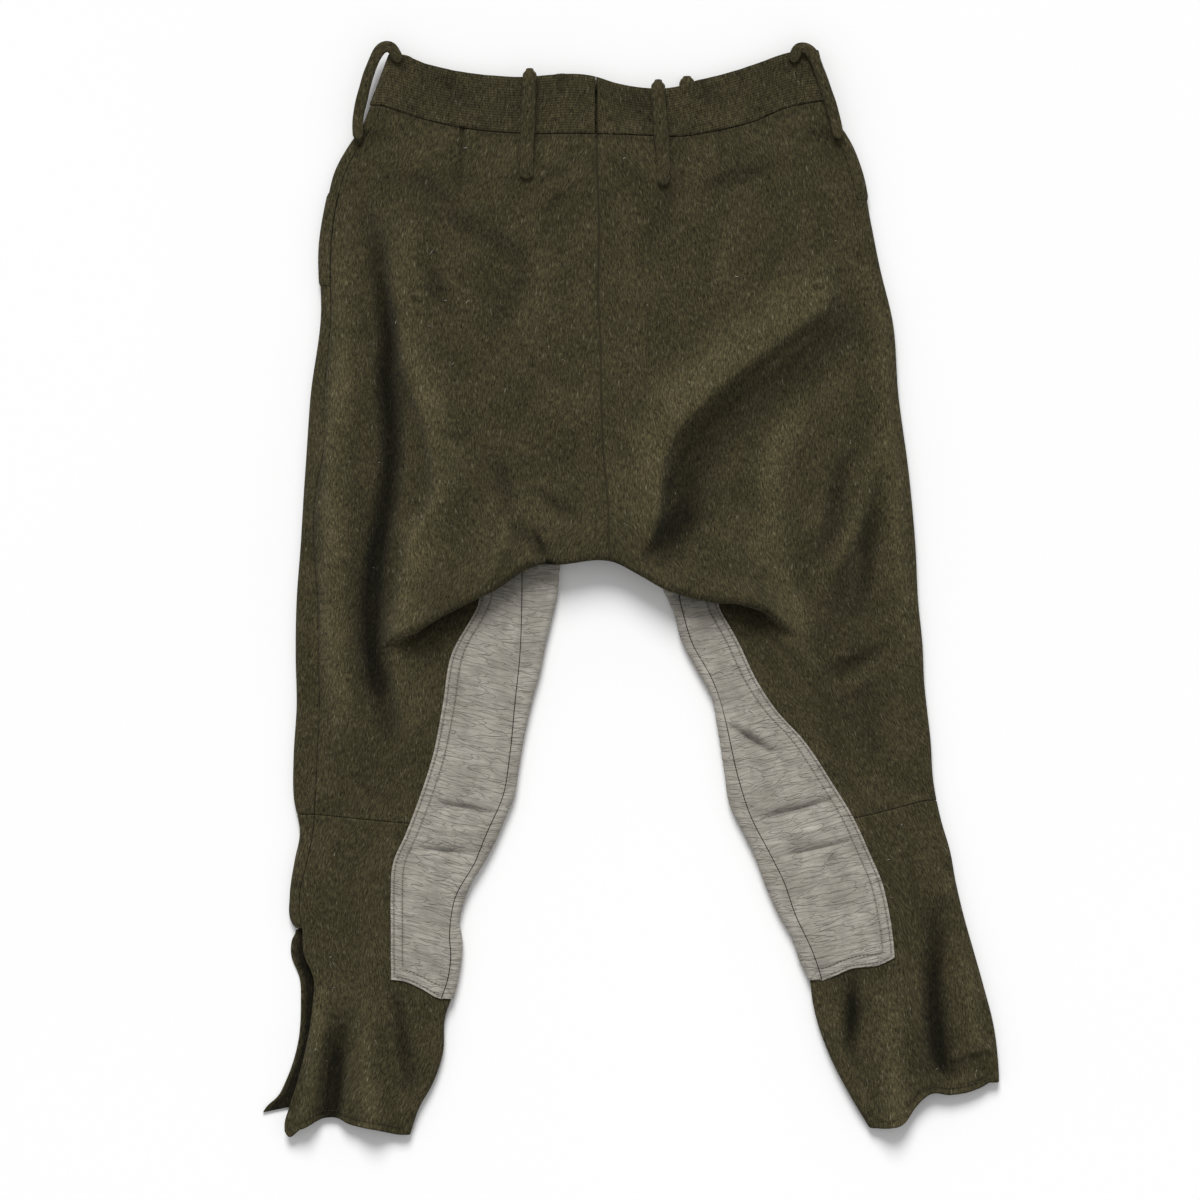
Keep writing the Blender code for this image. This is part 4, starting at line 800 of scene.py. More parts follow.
    def _outer_ring(self) -> Array:
        """The fold along the outer edge."""
        start = self.top[:, 0]
        y = photo_y(start[:, 1])
        leg = self.rows >= THIGH_ROW
        edge = mm_x(self.line("outer", y))
        inset = self.out * self._reach(start, edge) / MM_PER_PIXEL
        high = self.height(self.line("outer", y) - inset, y, leg)
        high = np.where(self.rows < WAIST_ROW, start[:, 2], high)
        low = self._floor(self.rows, y)
        return self._edge(start, edge, self.out, np.minimum(high, start[:, 2] + 1.0), low)

    def _inner_ring(self) -> Array:
        """The fold along the inner edge of the leg, which starts from the crotch seam."""
        start = self.top[:, self.column(INSEAM_COLUMN)]
        y = photo_y(start[:, 1])
        edge = mm_x(self.line("inner", y))
        inset = self.out * self._reach(start, edge) / MM_PER_PIXEL
        high = self.height(self.line("inner", y) + inset, y, True)
        low = self.strap_lift * self._lift(self.rows)
        ring = self._edge(start, edge, -self.out, np.minimum(high, start[:, 2] + 1.0), low)
        if self.rows[0] > CROTCH_ROW:
            return ring
        crotch, thigh = self.row(CROTCH_ROW), self.row(THIGH_ROW)
        seam = self.top[crotch, self.column(INSEAM_COLUMN):]
        for r in range(crotch, thigh):
            t = (self.rows[r] - CROTCH_ROW) / (THIGH_ROW - CROTCH_ROW)
            s = self.ring[:, None] / RING_STEPS
            bow = np.array((0.0, 3.0, -4.0)) * s * 4 * t * (1 - t)
            straight = seam * (1 - t) + ring[thigh] * t + bow
            off = (start[r] - straight[0]) * np.clip(1.0 - self.ring, 0.0, 1.0)[:, None]
            ring[r] = straight + off
        return ring

    def flap(self) -> Array:
        """Rows where the calf's side is open above its flap."""
        y = photo_y(self.top[:, 0, 1])
        return (self.rows > KNEE_ROW) & (y > PLACKET_TOP) & (self.side is Side.LEFT)

    def _under(self) -> Array:
        """The underside: eight points a row, from the outer edge to the inner one."""
        v = self.rows
        outer = self.outer_ring[:, -1].copy()
        flap = self.flap()
        y = photo_y(outer[:, 1])
        outer[flap, 0] = mm_x(self.line("outer", y))[flap]
        outer[flap, 2] = 0.0
        late = np.clip((v - STRAP_END_ROW) / (HEM_ROW - STRAP_END_ROW), 0.0, 1.0)
        tip = (mm_y(HEM_TABLE.at(photo_x(outer[-1, 0]))) - outer[-1, 1]) * late ** 2
        outer[flap, 1] += tip[flap]
        ring_end = self.inner_ring[:, -1]
        line_in, end = ring_end.copy(), ring_end.copy()
        if v[0] <= CROTCH_ROW:
            crotch = self.top[self.row(CROTCH_ROW), -1]
            corner = ring_end[self.row(THIGH_ROW)]
            waist = self.top[0, -1]
            t = np.clip(v / CROTCH_ROW, 0.0, 1.0)
            y_in = waist[1] + (crotch[1] - waist[1]) * t
            fall = np.clip(1.0 - v / CROTCH_ROW, 0.0, 1.0)
            middle = np.stack((mm_x(CENTRE_TABLE.at(photo_y(y_in))), y_in - self.front_fall * fall,
                               self._floor(v, photo_y(y_in))), axis=1)
            near = ease(v - (CROTCH_ROW - 1))[:, None]
            middle = middle * (1 - near) + crotch * near
            y_leg = waist[1] + (corner[1] + self.crotch_run - waist[1]) * t
            y_leg += (mm_y(BAND_TABLE.at(photo_x(corner[0]))) - waist[1] - self.front_low) * fall
            leg = np.stack((np.full(len(v), corner[0]), y_leg,
                            self._floor(v, photo_y(y_leg))), axis=1)
            past = np.clip((v - CROTCH_ROW) / (THIGH_ROW - CROTCH_ROW), 0.0, 1.0)[:, None]
            leg = leg * (1 - past) + corner * past
            line_in = np.where((v < THIGH_ROW)[:, None], leg, ring_end)
            end = np.where((v <= CROTCH_ROW)[:, None], middle, ring_end)
        strap = line_in[:, 0] + self.out * self.front_strap * MM_PER_PIXEL
        ramp = strap + self.out * self.strap_ramp * MM_PER_PIXEL
        across = [outer[:, 0] + (ramp - outer[:, 0]) * k / 3.0 for k in range(3)]
        across += [ramp, strap, 0.5 * (strap + line_in[:, 0])]
        points = [outer]
        side_y = mm_y(BAND_TABLE.at(self.lines.values[0, 1]))
        for k, x in enumerate(across[1:], start=1):
            t = (x - outer[:, 0]) / (line_in[:, 0] - outer[:, 0])
            y_mm = outer[:, 1] + (line_in[:, 1] - outer[:, 1]) * t
            if v[0] < CROTCH_ROW:
                chord = line_in[0, 1] + (side_y - line_in[0, 1]) * (1.0 - t)
                dip = mm_y(BAND_TABLE.at(photo_x(x))) - chord - self.front_low
                y_mm = y_mm + dip * np.clip(1.0 - v / CROTCH_ROW, 0.0, 1.0)
            hem = HEM_TABLE.at(photo_x(x)), HEM_TABLE.at(photo_x(outer[:, 0]))
            rise = (hem[1] - hem[0]) * MM_PER_PIXEL * (1.0 - t)
            rise += (HEM_TABLE.at(photo_x(line_in[:, 0])) - hem[0]) * MM_PER_PIXEL * t
            inside = np.clip(6.0 * t * (1.0 - t), 0.0, 1.0)
            y_mm = y_mm + (np.maximum(rise, 0.0) + self.hem_rise * inside) * late ** 2
            z = self._floor(v, photo_y(y_mm))
            if k >= 4:
                z = z + self.strap_lift * self._lift(v) * (v > CROTCH_ROW)
            points.append(np.stack((x, y_mm, z), axis=1))
        points += [line_in, end]
        return np.stack(points, axis=1)

    def at(self, v: Array, u: Array) -> Tuple[Array, Array]:
        """Points and outward normals of the top layer.

        Args:
            v: Rows of the cut.
            u: Columns of the cut.

        Returns:
            Points in millimetres and unit normals.
        """
        r = np.clip(np.searchsorted(self.rows, v) - 1, 0, len(self.rows) - 2)
        c = np.clip(np.searchsorted(self.columns, u) - 1, 0, len(self.columns) - 2)
        s = ((v - self.rows[r]) / (self.rows[r + 1] - self.rows[r]))[:, None]
        t = ((u - self.columns[c]) / (self.columns[c + 1] - self.columns[c]))[:, None]
        both = []
        for grid in (self.top, self.normals):
            both.append(grid[r, c] * (1 - s) * (1 - t) + grid[r + 1, c] * s * (1 - t)
                        + grid[r, c + 1] * (1 - s) * t + grid[r + 1, c + 1] * s * t)
        return both[0], both[1] / np.linalg.norm(both[1], axis=1)[:, None]


def grid_normals(grid: Array) -> Array:
    """Unit normals of a grid of points, by its rows and columns."""
    down = np.gradient(grid, axis=0)
    across = np.gradient(grid, axis=1)
    normals = np.cross(across, down)
    return -normals / np.maximum(np.linalg.norm(normals, axis=2), 1e-9)[:, :, None]


def fine_steps(first: float, last: float, parts: int, seams: Sequence[float],
               beside: float) -> Array:
    """Places along the cut, closer together beside its seams.

    Args:
        first: First place.
        last: Last place.
        parts: Steps in one of the cut's own rows or columns.
        seams: Places of the seams.
        beside: How far from a seam its own step lies.

    Returns:
        The places in order.
    """
    steps = list(np.arange(round(first * parts), round(last * parts) + 1) / parts)
    for seam in seams:
        steps += [p for p in (seam - beside, seam + beside) if first < p < last]
    return np.unique(np.round(steps, 4))


class Shell:
    """Points and faces of both halves, each face with the name of its piece and its place."""

    def __init__(self, halves: Sequence[HalfCloth]) -> None:
        """Collect the halves' faces, join their points and work out the normals."""
        self._points: List[Array] = []
        self._cloth: List[Array] = []
        self._faces: List[Array] = []
        self._labels: List[str] = []
        self._places: List[int] = []
        self._count = 0
        for half in halves:
            self._half(half)
        points = np.concatenate(self._points)
        keys, first, joined = np.unique(np.round(points, 2), axis=0, return_index=True,
                                        return_inverse=True)
        self.points = points[first]
        self.cloth = np.concatenate(self._cloth)[first]
        self.faces = joined.reshape(-1)[np.array(self._faces)]
        self.labels = np.array(self._labels)
        self.places = np.array(self._places)
        corners = self.points[self.faces]
        span = np.cross(corners[:, 2] - corners[:, 0], corners[:, 3] - corners[:, 1])
        length = np.linalg.norm(span, axis=1)
        span = span / np.sqrt(np.maximum(length, 1e-9))[:, None]
        self.normals = np.zeros_like(self.points)
        for k in range(4):
            np.add.at(self.normals, self.faces[:, k], span)
        self.normals /= np.maximum(np.linalg.norm(self.normals, axis=1), 1e-9)[:, None]

    def _add(self, points: Array, cloth: Array) -> Array:
        """Keep a grid of points with their place in the cloth, and give back their numbers."""
        flat = points.reshape(-1, 3)
        self._points.append(flat)
        self._cloth.append(cloth.reshape(-1, 5))
        numbers = self._count + np.arange(len(flat)).reshape(points.shape[:2])
        self._count += len(flat)
        return numbers

    def _quads(self, numbers: Array, flip: bool, labels: Array, places: Array,
               keep: Array) -> None:
        """Add the faces of a grid of numbers where keep is true."""
        quads = np.stack((numbers[:-1, :-1], numbers[1:, :-1], numbers[1:, 1:],
                          numbers[:-1, 1:]), axis=2)
        if flip:
            quads = quads[:, :, ::-1]
        shape = quads.shape[:2]
        keep = np.broadcast_to(keep, shape)
        self._faces += quads[keep].tolist()
        self._labels += np.broadcast_to(labels, shape)[keep].tolist()
        self._places += np.broadcast_to(places, shape)[keep].tolist()

    def _half(self, half: HalfCloth) -> None:
        """Add one half's top, edge folds and underside."""
        rows, columns, ring = half.rows, half.columns, half.ring
        word, left = half.side.word, half.side is Side.LEFT
        v, u, s = rows[:-1, None], columns[None, :-1], ring[None, :-1]
        y = photo_y(half.top[:, 0, 1])

        def name(layer: str) -> Array:
            """Name of the piece in each row."""
            calf = np.where(v < KNEE_ROW, layer + "_" + word, "calf_" + layer + "_" + word)
            return np.where(v < WAIST_ROW, "waistband_" + word, calf)

        # the cloth's own directions: across from the panel's middle, and along its length
        step = np.diff(half.top, axis=0)
        rolled = (rows[:-1] >= POUCH_ROW) & (rows[:-1] < THIGH_ROW)
        down = np.where(rolled[:, None], np.linalg.norm(step[:, :, 1:], axis=2),
                        np.abs(step[:, :, 1]))
        along = np.concatenate((np.zeros((1, len(columns))), np.cumsum(down, axis=0)))
        if rows[0] >= THIGH_ROW:
            along += STRAP_TILT * half.out * half.top[:, :, 0] - half.top[:1, :, 1]
        across = mm_x(half.column_x(columns[None, :], photo_y(half.top[:, :, 1])))
        middle = mm_x(0.5 * (half.line("seam", y) + half.line("strap", y)))[:, None]
        strap_line = mm_x(half.line("strap", photo_y(half.top[:, :, 1])))
        to_end = np.maximum(STRAP_END_ROW - rows, 0.0)[:, None] * END_ROW_MM
        edge = np.minimum(np.abs(half.top[:, :, 0] - strap_line), to_end)
        # seams that hardly show: along the centre back, and down the calf's inseam
        u_all, v_all = columns[None, :], rows[:, None]
        quiet = 1.0 * (((u_all > INSEAM_COLUMN) & (v_all > WAIST_ROW))
                       | ((u_all >= INSEAM_COLUMN) & (v_all >= STRAP_END_ROW)))
        # the fourth value is the painted shade and highlight of folds and ridges
        top_cloth = np.stack((across - middle, along, edge, half.shade(), quiet), axis=2)
        top = self._add(half.top, top_cloth)

        strapped = (v >= THIGH_ROW) & (v < STRAP_END_ROW)
        on_top = (v < CROTCH_ROW) | (u < INSEAM_COLUMN)
        places = np.where(strapped & (u >= STRAP_COLUMN), Place.STRAP.value, Place.TOP.value)
        self._quads(top, not left, name("back"), places, on_top)

        def ring_cloth(points: Array, start: Array, way: int) -> Array:
            """Place in the cloth of an edge fold's points, measured round from the seam."""
            round_edge = np.concatenate((np.zeros((len(rows), 1)), np.cumsum(np.linalg.norm(
                np.diff(points, axis=1), axis=2), axis=1)), axis=1)
            fade = np.exp(-round_edge / 6.0)
            return np.stack((start[:, None, 0] + way * round_edge,
                             np.broadcast_to(start[:, None, 1], round_edge.shape),
                             start[:, None, 2] + round_edge, start[:, None, 3] * fade,
                             start[:, None, 4] * (round_edge < 0.01)), axis=2)

        outer = self._add(half.outer_ring, ring_cloth(half.outer_ring, top_cloth[:, 0], half.out))
        closed = (v < KNEE_ROW) | (y[1:, None] <= PLACKET_TOP) | (not left)
        front, back = name("front"), name("back")
        labels = np.where((s < 4) & (not left), back, front)
        low, high = POCKETS[word]
        welt = (s < 3) & (y[:-1, None] >= low) & (y[:-1, None] < high)
        self._quads(outer, left, labels, np.where(welt, Place.WELT.value, Place.SIDE.value),
                    closed)

        inseam = half.column(INSEAM_COLUMN)
        inner = self._add(half.inner_ring,
                          ring_cloth(half.inner_ring, top_cloth[:, inseam], -half.out))
        places = np.where(strapped, Place.STRAP.value, Place.INNER.value)
        self._quads(inner, not left, front, places, (v >= CROTCH_ROW))

        under = half.under
        front_edge = np.minimum(np.abs(under[:, :, 0] - under[:, 4:5, 0]), to_end)
        # painted shadow on the calf's inside behind the open flap
        inside = np.where(half.flap()[:, None] & (np.arange(under.shape[1])[None, :] > 0),
                          INSIDE_SHADE, 0.0)
        numbers = self._add(under, np.stack((under[:, :, 0] + FRONT_SHIFT, -under[:, :, 1],
                                             front_edge, inside, 0.0 * front_edge), axis=2))
        k = np.arange(under.shape[1] - 1)[None, :]
        flap = left & (k == 0) & (v >= KNEE_ROW) & (y[1:, None] > PLACKET_TOP)
        places = np.where(strapped & (k >= 4) & (k < 6), Place.STRAP.value, Place.UNDER.value)
        keep = (k < 6) | (v < THIGH_ROW)
        self._quads(numbers, left, np.where(flap, "placket_left", front), places, keep)

    def wall(self, chosen: Array, outer: float, inner: float, pull: float,
             roll: float = 0.0) -> Tuple[Array, Array, Array]:
        """Closed cloth wall over the chosen faces.

        Args:
            chosen: Which faces.
            outer: How far out of the shell the wall's outer side lies.
            inner: How far in its inner side lies.
            pull: How far the border stands back from the seam.
            roll: How far the border's outer side rolls down.

        Returns:
            Points, faces of four corners, and each point's place in the cloth.
        """
        faces = self.faces[chosen]
        used, faces = np.unique(faces, return_inverse=True)
        faces = faces.reshape(-1, 4)
        base, normals = self.points[used].copy(), self.normals[used]
        count = len(used)
        start, end = faces.reshape(-1), np.roll(faces, -1, axis=1).reshape(-1)
        real = start != end
        start, end = start[real], end[real]
        border = ~np.isin(start * count + end, end * count + start)
        start, end = start[border], end[border]
        run = base[end] - base[start]
        total = np.zeros_like(base)
        met = np.zeros(count)
        for v in (start, end):
            square = np.cross(normals[v], run)
            square /= np.maximum(np.linalg.norm(square, axis=1), 1e-9)[:, None]
            np.add.at(total, v, square)
            np.add.at(met, v, 1.0)
        size = np.linalg.norm(total, axis=1)
        on_border = size > 1e-6
        spread = np.maximum(0.5, size / np.maximum(met, 1.0))
        quiet = 1.0 - QUIET_SHARE * self.cloth[used][:, 4]
        back = np.where(normals[:, 2] < -0.8, UNDER_PULL, quiet) * pull
        base[on_border] += (total[on_border] / size[on_border, None]
                            * (back / spread)[on_border, None])
        lifted = base + normals * outer
        lifted[on_border] -= (normals * roll * quiet[:, None])[on_border]
        points = np.concatenate((lifted, base - normals * inner))
        sides = np.stack((end, start, start + count, end + count), axis=1)
        cloth = np.concatenate((self.cloth[used], self.cloth[used]))[:, :4]
        return points, np.concatenate((faces, faces[:, ::-1] + count, sides)), cloth


BAND_TABLE, WAIST_TABLE, POUCH_TABLE = Table(BAND_TOP), Table(WAIST_SEAM), Table(POUCH_EDGE)
KNEE_TABLE, END_TABLE, HEM_TABLE = Table(KNEE_SEAM), Table(STRAP_END), Table(HEM)
CENTRE_TABLE, TURN_TABLE, SWELL_TABLE = Table(CENTRE), Table(POUCH_TURN), Table(POUCH_SWELL)
MAIN_RELIEF = Relief(FOLDS, Ripple(seed=5, shortest=40, longest=120, height=0.12), 1.2)
CREASE_RELIEF = Relief(CREASES, Ripple(seed=6, shortest=12, longest=40, height=0.25), 1.5)
# read only for colour: painted shade and painted highlight
SHADE_RELIEF = Relief(SHADES, Ripple(seed=7, shortest=30, longest=90, height=0.2))
BROAD_RIPPLE = Ripple(seed=11, shortest=26, longest=90, height=0.55)
FINE_RIPPLE = Ripple(seed=12, shortest=9, longest=22, height=0.10)


class Bench:
    """A material whose nodes are added one at a time."""

    def __init__(self, name: str) -> None:
        """Start a new material with its shader."""
        self.material = bpy.data.materials.new(name)
        self.material.use_nodes = True
        self.tree = self.material.node_tree
        self.shader = self.tree.nodes["Principled BSDF"]

    def _feed(self, socket: Socket, value: object) -> None:
        """Link a socket to another, or set it."""
        if isinstance(value, Socket):
            self.tree.links.new(value, socket)
        else:
            socket.default_value = value

    def add(self, kind: str, sockets: Dict[object, object], **settings: object) -> bpy.types.Node:
        """Add a node.

        Args:
            kind: The node's type.
            sockets: Values or links for its inputs.
            settings: The node's own settings.

        Returns:
            The node.
        """
        node = self.tree.nodes.new(kind)
        for key, value in settings.items():
            setattr(node, key, value)
        for key, value in sockets.items():
            self._feed(node.inputs[key], value)
        return node

    def cloth(self, across: float, along: float, shift: float = 0.0) -> Socket:
        """Place in the cloth, in parts of that many millimetres across and along."""
        place = self.add("ShaderNodeAttribute", {}, attribute_name="cloth")
        node = self.add("ShaderNodeVectorMath", {0: place.outputs["Vector"],
                                                 1: (1 / across, 1 / along, 0.0)},
                        operation="MULTIPLY")
        node = self.add("ShaderNodeVectorMath", {0: node.outputs[0], 1: (shift, shift, shift)},
                        operation="ADD")
        return node.outputs[0]

    def wavy(self, across: float, along: float, shift: float) -> Socket:
        """Place in the cloth along threads and hairs that wander a little to each side."""
        wander = self.span(self.noise(self.cloth(7.0, 16.0, shift + 3.0), 2.0), 0.0, 1.0,
                           -2.6 / across, 2.6 / across)
        move = self.add("ShaderNodeCombineXYZ", {0: wander}).outputs[0]
        return self.add("ShaderNodeVectorMath", {0: self.cloth(across, along, shift), 1: move},
                        operation="ADD").outputs[0]

    def shade(self) -> Socket:
        """Millimetres by which the place lies on a ridge, or in a fold if below 0, for painted
        highlight and painted shade.
        """
        return self.add("ShaderNodeAttribute", {}, attribute_name="shade").outputs["Fac"]

    def edge(self) -> Socket:
        """Millimetres from the piece's stitched edge."""
        place = self.add("ShaderNodeAttribute", {}, attribute_name="cloth")
        parts = self.add("ShaderNodeSeparateXYZ", {0: place.outputs["Vector"]})
        return parts.outputs["Z"]

    def noise(self, place: Socket, detail: float = 3.0,
              rough: float = 0.55) -> Socket:
        """Noise with one cell to a part of the place."""
        node = self.add("ShaderNodeTexNoise", {"Vector": place, "Scale": 1.0, "Detail": detail,
                                               "Roughness": rough})
        return node.outputs["Fac"]

    def span(self, value: Socket, low: float, high: float, to_low: float = 0.0,
             to_high: float = 1.0) -> Socket:
        """Carry a value from one span to another, held at its ends."""
        node = self.add("ShaderNodeMapRange", {"Value": value, "From Min": low, "From Max": high,
                                               "To Min": to_low, "To Max": to_high})
        return node.outputs[0]

    def sum(self, how: str, a: object, b: object) -> Socket:
        """Two values put together by an operation."""
        return self.add("ShaderNodeMath", {0: a, 1: b}, operation=how).outputs[0]

    def mix(self, share: object, a: object, b: object,
            how: str = "MIX") -> Socket:
        """Mix two colours.

        Args:
            share: Share of the second colour.
            a: First colour.
            b: Second colour.
            how: Way of mixing.

        Returns:
            The mixed colour.
        """
        node = self.add("ShaderNodeMix", {}, data_type="RGBA", blend_type=how)
        self._feed(node.inputs[0], share)
        self._feed(node.inputs[6], a if isinstance(a, Socket) else (*a, 1.0))
        self._feed(node.inputs[7], b if isinstance(b, Socket) else (*b, 1.0))
        return node.outputs[2]

    def grey(self, value: Socket) -> Socket:
        """A grey colour of that value."""
        return self.add("ShaderNodeCombineColor", {0: value, 1: value, 2: value}).outputs[0]

    def toned(self, colour: object, value: Socket, low: float, high: float,
              darkest: float, palest: float) -> Socket:
        """Darken a colour where a value is low, and lighten it where the value is high."""
        tone = self.grey(self.span(value, low, high, darkest, palest))
        return self.mix(1.0, colour, tone, "MULTIPLY")

    def stripe(self, value: Socket, place: float, inner: float, outer: float,
               most: float = 1.0) -> Socket:
        """A stripe of that strength where a value is near a place, and none further off."""
        off = self.sum("ABSOLUTE", self.sum("SUBTRACT", value, place), 0.0)
        return self.span(off, inner, outer, most, 0.0)

    def bump(self, height: Socket, strength: float, depth_mm: float,
             over: Optional[Socket] = None) -> Socket:
        """A bumped normal.

        Args:
            height: Height from 0 to 1.
            strength: How strongly it shows.
            depth_mm: Depth of the full height.
            over: A normal that it adds to.

        Returns:
            The normal.
        """
        sockets = {"Height": height, "Strength": strength, "Distance": depth_mm / 1000}
        if over is not None:
            sockets["Normal"] = over
        return self.add("ShaderNodeBump", sockets).outputs[0]

    def finish(self, colour: object, normal: object, rough: float, sheen: float,
               specular: float) -> bpy.types.Material:
        """Feed the shader.

        Args:
            colour: Colour socket.
            normal: Normal socket.
            rough: Roughness.
            sheen: Weight of the soft sheen of the nap.
            specular: Specular level.

        Returns:
            The material.
        """
        self._feed(self.shader.inputs["Base Color"], colour)
        self._feed(self.shader.inputs["Normal"], normal)
        for name, value in (("Roughness", rough), ("Sheen Weight", sheen),
                            ("Sheen Roughness", 0.6), ("Specular IOR Level", specular)):
            self.shader.inputs[name].default_value = value
        return self.material


@dataclass(frozen=True)
class NappedWool:
    """Heavy olive wool with a brushed nap that runs down the garment."""

    name: str = "napped_wool"
    green: Colour = (0.041, 0.0365, 0.0175)
    brown: Colour = (0.051, 0.0425, 0.0215)
    deep: Colour = (0.024, 0.0195, 0.009)
    fibre: Colour = (0.165, 0.150, 0.098)
    patch: float = 34.0           # size of the worn patches, in millimetres
    ribs: float = 0.0             # distance between cross ribs, in millimetres, or none

    def material(self) -> bpy.types.Material:
        """Build the material."""
        b = Bench(self.name)
        patches = b.noise(b.cloth(self.patch, self.patch * 1.5), 4.0, 0.6)
        small = b.noise(b.wavy(4.5, 12.0, 31.0), 3.0, 0.6)
        nap = b.noise(b.wavy(1.15, 6.0, 7.0), 3.0, 0.65)
        fine = b.noise(b.wavy(0.75, 3.4, 50.0), 2.0, 0.6)
        hairs = b.noise(b.wavy(1.2, 8.0, 130.0), 1.0, 0.5)
        grain = b.noise(b.cloth(1.1, 1.3, 90.0), 3.0, 0.7)
        colour = b.mix(b.span(patches, 0.36, 0.64), self.green, self.brown)
        colour = b.mix(b.span(small, 0.46, 0.72, 0.0, 0.40), colour, self.deep)
        for value, low, high in ((patches, 0.88, 1.10), (nap, 0.42, 1.62), (fine, 0.58, 1.50),
                                 (grain, 0.74, 1.30)):
            colour = b.toned(colour, value, 0.32, 0.68, low, high)
        colour = b.mix(b.span(hairs, 0.63, 0.76, 0.0, 0.6), colour, self.fibre)
        # painted shade in folds and painted highlight on ridges, from the shade attribute
        colour = b.toned(colour, b.shade(), -13.0, 8.0, 0.20, 1.38)
        normal = b.bump(small, 0.6, 1.0)
        if self.ribs:
            parts = b.add("ShaderNodeSeparateXYZ", {0: b.wavy(50.0, self.ribs / math.tau, 0.0)})
            rib = b.sum("SINE", parts.outputs["Y"], 0.0)
            colour = b.toned(colour, rib, -1.0, 1.0, 0.80, 1.08)
            normal = b.bump(rib, 0.4, 0.3, normal)
        normal = b.bump(nap, 0.9, 1.0, normal)
        normal = b.bump(b.sum("ADD", fine, grain), 0.6, 0.4, normal)
        return b.finish(colour, normal, 0.97, 0.03, 0.05)


@dataclass(frozen=True)
class BrushedCotton:
    """Grey brushed cotton of the inner knee strappings, with soft mauve patches."""

    name: str = "brushed_cotton"
    grey: Colour = (0.322, 0.299, 0.255)
    # pale also draws the painted highlight along the stitched edges
    pale: Colour = (0.415, 0.391, 0.340)
    mauve: Colour = (0.225, 0.198, 0.176)
    # painted shade colour of the stitch grooves and pucker creases
    groove_shade: Colour = (0.150, 0.130, 0.105)

    def material(self) -> bpy.types.Material:
        """Build the material."""
        b = Bench(self.name)
        patches = b.noise(b.cloth(26.0, 38.0), 4.0, 0.6)
        stains = b.noise(b.cloth(17.0, 22.0, 40.0), 4.0, 0.65)
        flow = b.noise(b.cloth(15.0, 2.6, 12.0), 2.0, 0.5)
        lines = b.sum("MAXIMUM", *(
            b.stripe(b.noise(b.cloth(across, along, shift), 1.0, 0.5), 0.5, 0.0, 0.015)
            for across, along, shift in ((42.0, 9.0, 60.0), (30.0, 6.0, 66.0))))
        weave = b.noise(b.cloth(0.75, 0.75, 80.0), 3.0, 0.6)
        edge = b.edge()
        colour = b.mix(b.span(patches, 0.38, 0.62), self.grey, self.pale)
        colour = b.mix(b.span(stains, 0.46, 0.72, 0.0, 0.6), colour, self.mauve)
        # painted highlight: paler along the strapping's stitched edge
        colour = b.mix(b.span(edge, 0.3, 2.4, 0.5, 0.0), colour, self.pale)
        # painted shade along the grooves of the stitch rows
        for place in STRAP_STITCHES:
            colour = b.mix(b.stripe(edge, place, 0.3, 1.7, 0.40), colour, self.groove_shade)
        colour = b.toned(colour, flow, 0.3, 0.7, 0.89, 1.10)
        # painted shade in the thin pucker creases
        colour = b.mix(b.sum("MULTIPLY", lines, b.span(patches, 0.35, 0.6, 0.04, 0.30)), colour,
                       self.groove_shade)
        # painted shade in folds and painted highlight on ridges, from the shade attribute
        colour = b.toned(colour, b.shade(), -8.0, 5.0, 0.50, 1.12)
        colour = b.toned(colour, weave, 0.3, 0.7, 0.85, 1.15)
        near = b.span(edge, 4.0, 26.0, 1.0, 0.6)
        normal = b.bump(b.sum("MULTIPLY", flow, near), 0.95, 1.6)
        normal = b.bump(b.sum("SUBTRACT", 1.0, lines), 0.8, 0.7, normal)
        normal = b.bump(weave, 0.55, 0.35, normal)
        return b.finish(colour, normal, 0.93, 0.08, 0.2)


@dataclass(frozen=True)
class Thread:
    """Twisted sewing thread."""

    name: str
    colour: Colour

    def material(self) -> bpy.types.Material:
        """Build the material."""
        b = Bench(self.name)
        place = b.add("ShaderNodeTexCoord", {}).outputs["Object"]
        big = b.add("ShaderNodeVectorMath", {0: place, 1: (900.0, 900.0, 900.0)},
                    operation="MULTIPLY").outputs[0]
        twist = b.noise(big, 2.0)
        colour = b.toned(self.colour, twist, 0.3, 0.7, 0.7, 1.25)
        return b.finish(colour, b.bump(twist, 0.5, 0.15), 0.75, 0.0, 0.3)


@dataclass(frozen=True)
class FloorPaper:
    """Plain pale studio paper."""

    name: str = "floor_paper"
    colour: Colour = (0.93, 0.93, 0.93)

    def material(self) -> bpy.types.Material:
        """Build the material."""
        b = Bench(self.name)
        place = b.add("ShaderNodeTexCoord", {}).outputs["Object"]
        grain = b.noise(place, 2.0)
        colour = b.toned(self.colour, grain, 0.3, 0.7, 0.99, 1.0)
        return b.finish(colour, b.bump(grain, 0.05, 0.1), 0.9, 0.0, 0.1)


class Finishes:
    """The finishes of the garment, each made once."""

    def __init__(self) -> None:
        """Build every material."""
        self.wool = NappedWool().material()
        self.band = NappedWool("ribbed_wool", ribs=2.15).material()
        self.cotton = BrushedCotton().material()
        self.grey_thread = Thread("grey_thread", (0.115, 0.105, 0.088)).material()
        self.olive_thread = Thread("olive_thread", (0.030, 0.026, 0.014)).material()
        self.lint = Thread("lint_fibre", (0.55, 0.52, 0.46)).material()
        self.paper = FloorPaper().material()


def put_in_scene(name: str, data: bpy.types.ID) -> Item:
    """Make an object of a mesh, a light or a camera, and link it to the scene."""
    item = bpy.data.objects.new(name, data)
    bpy.context.scene.collection.objects.link(item)
    return item


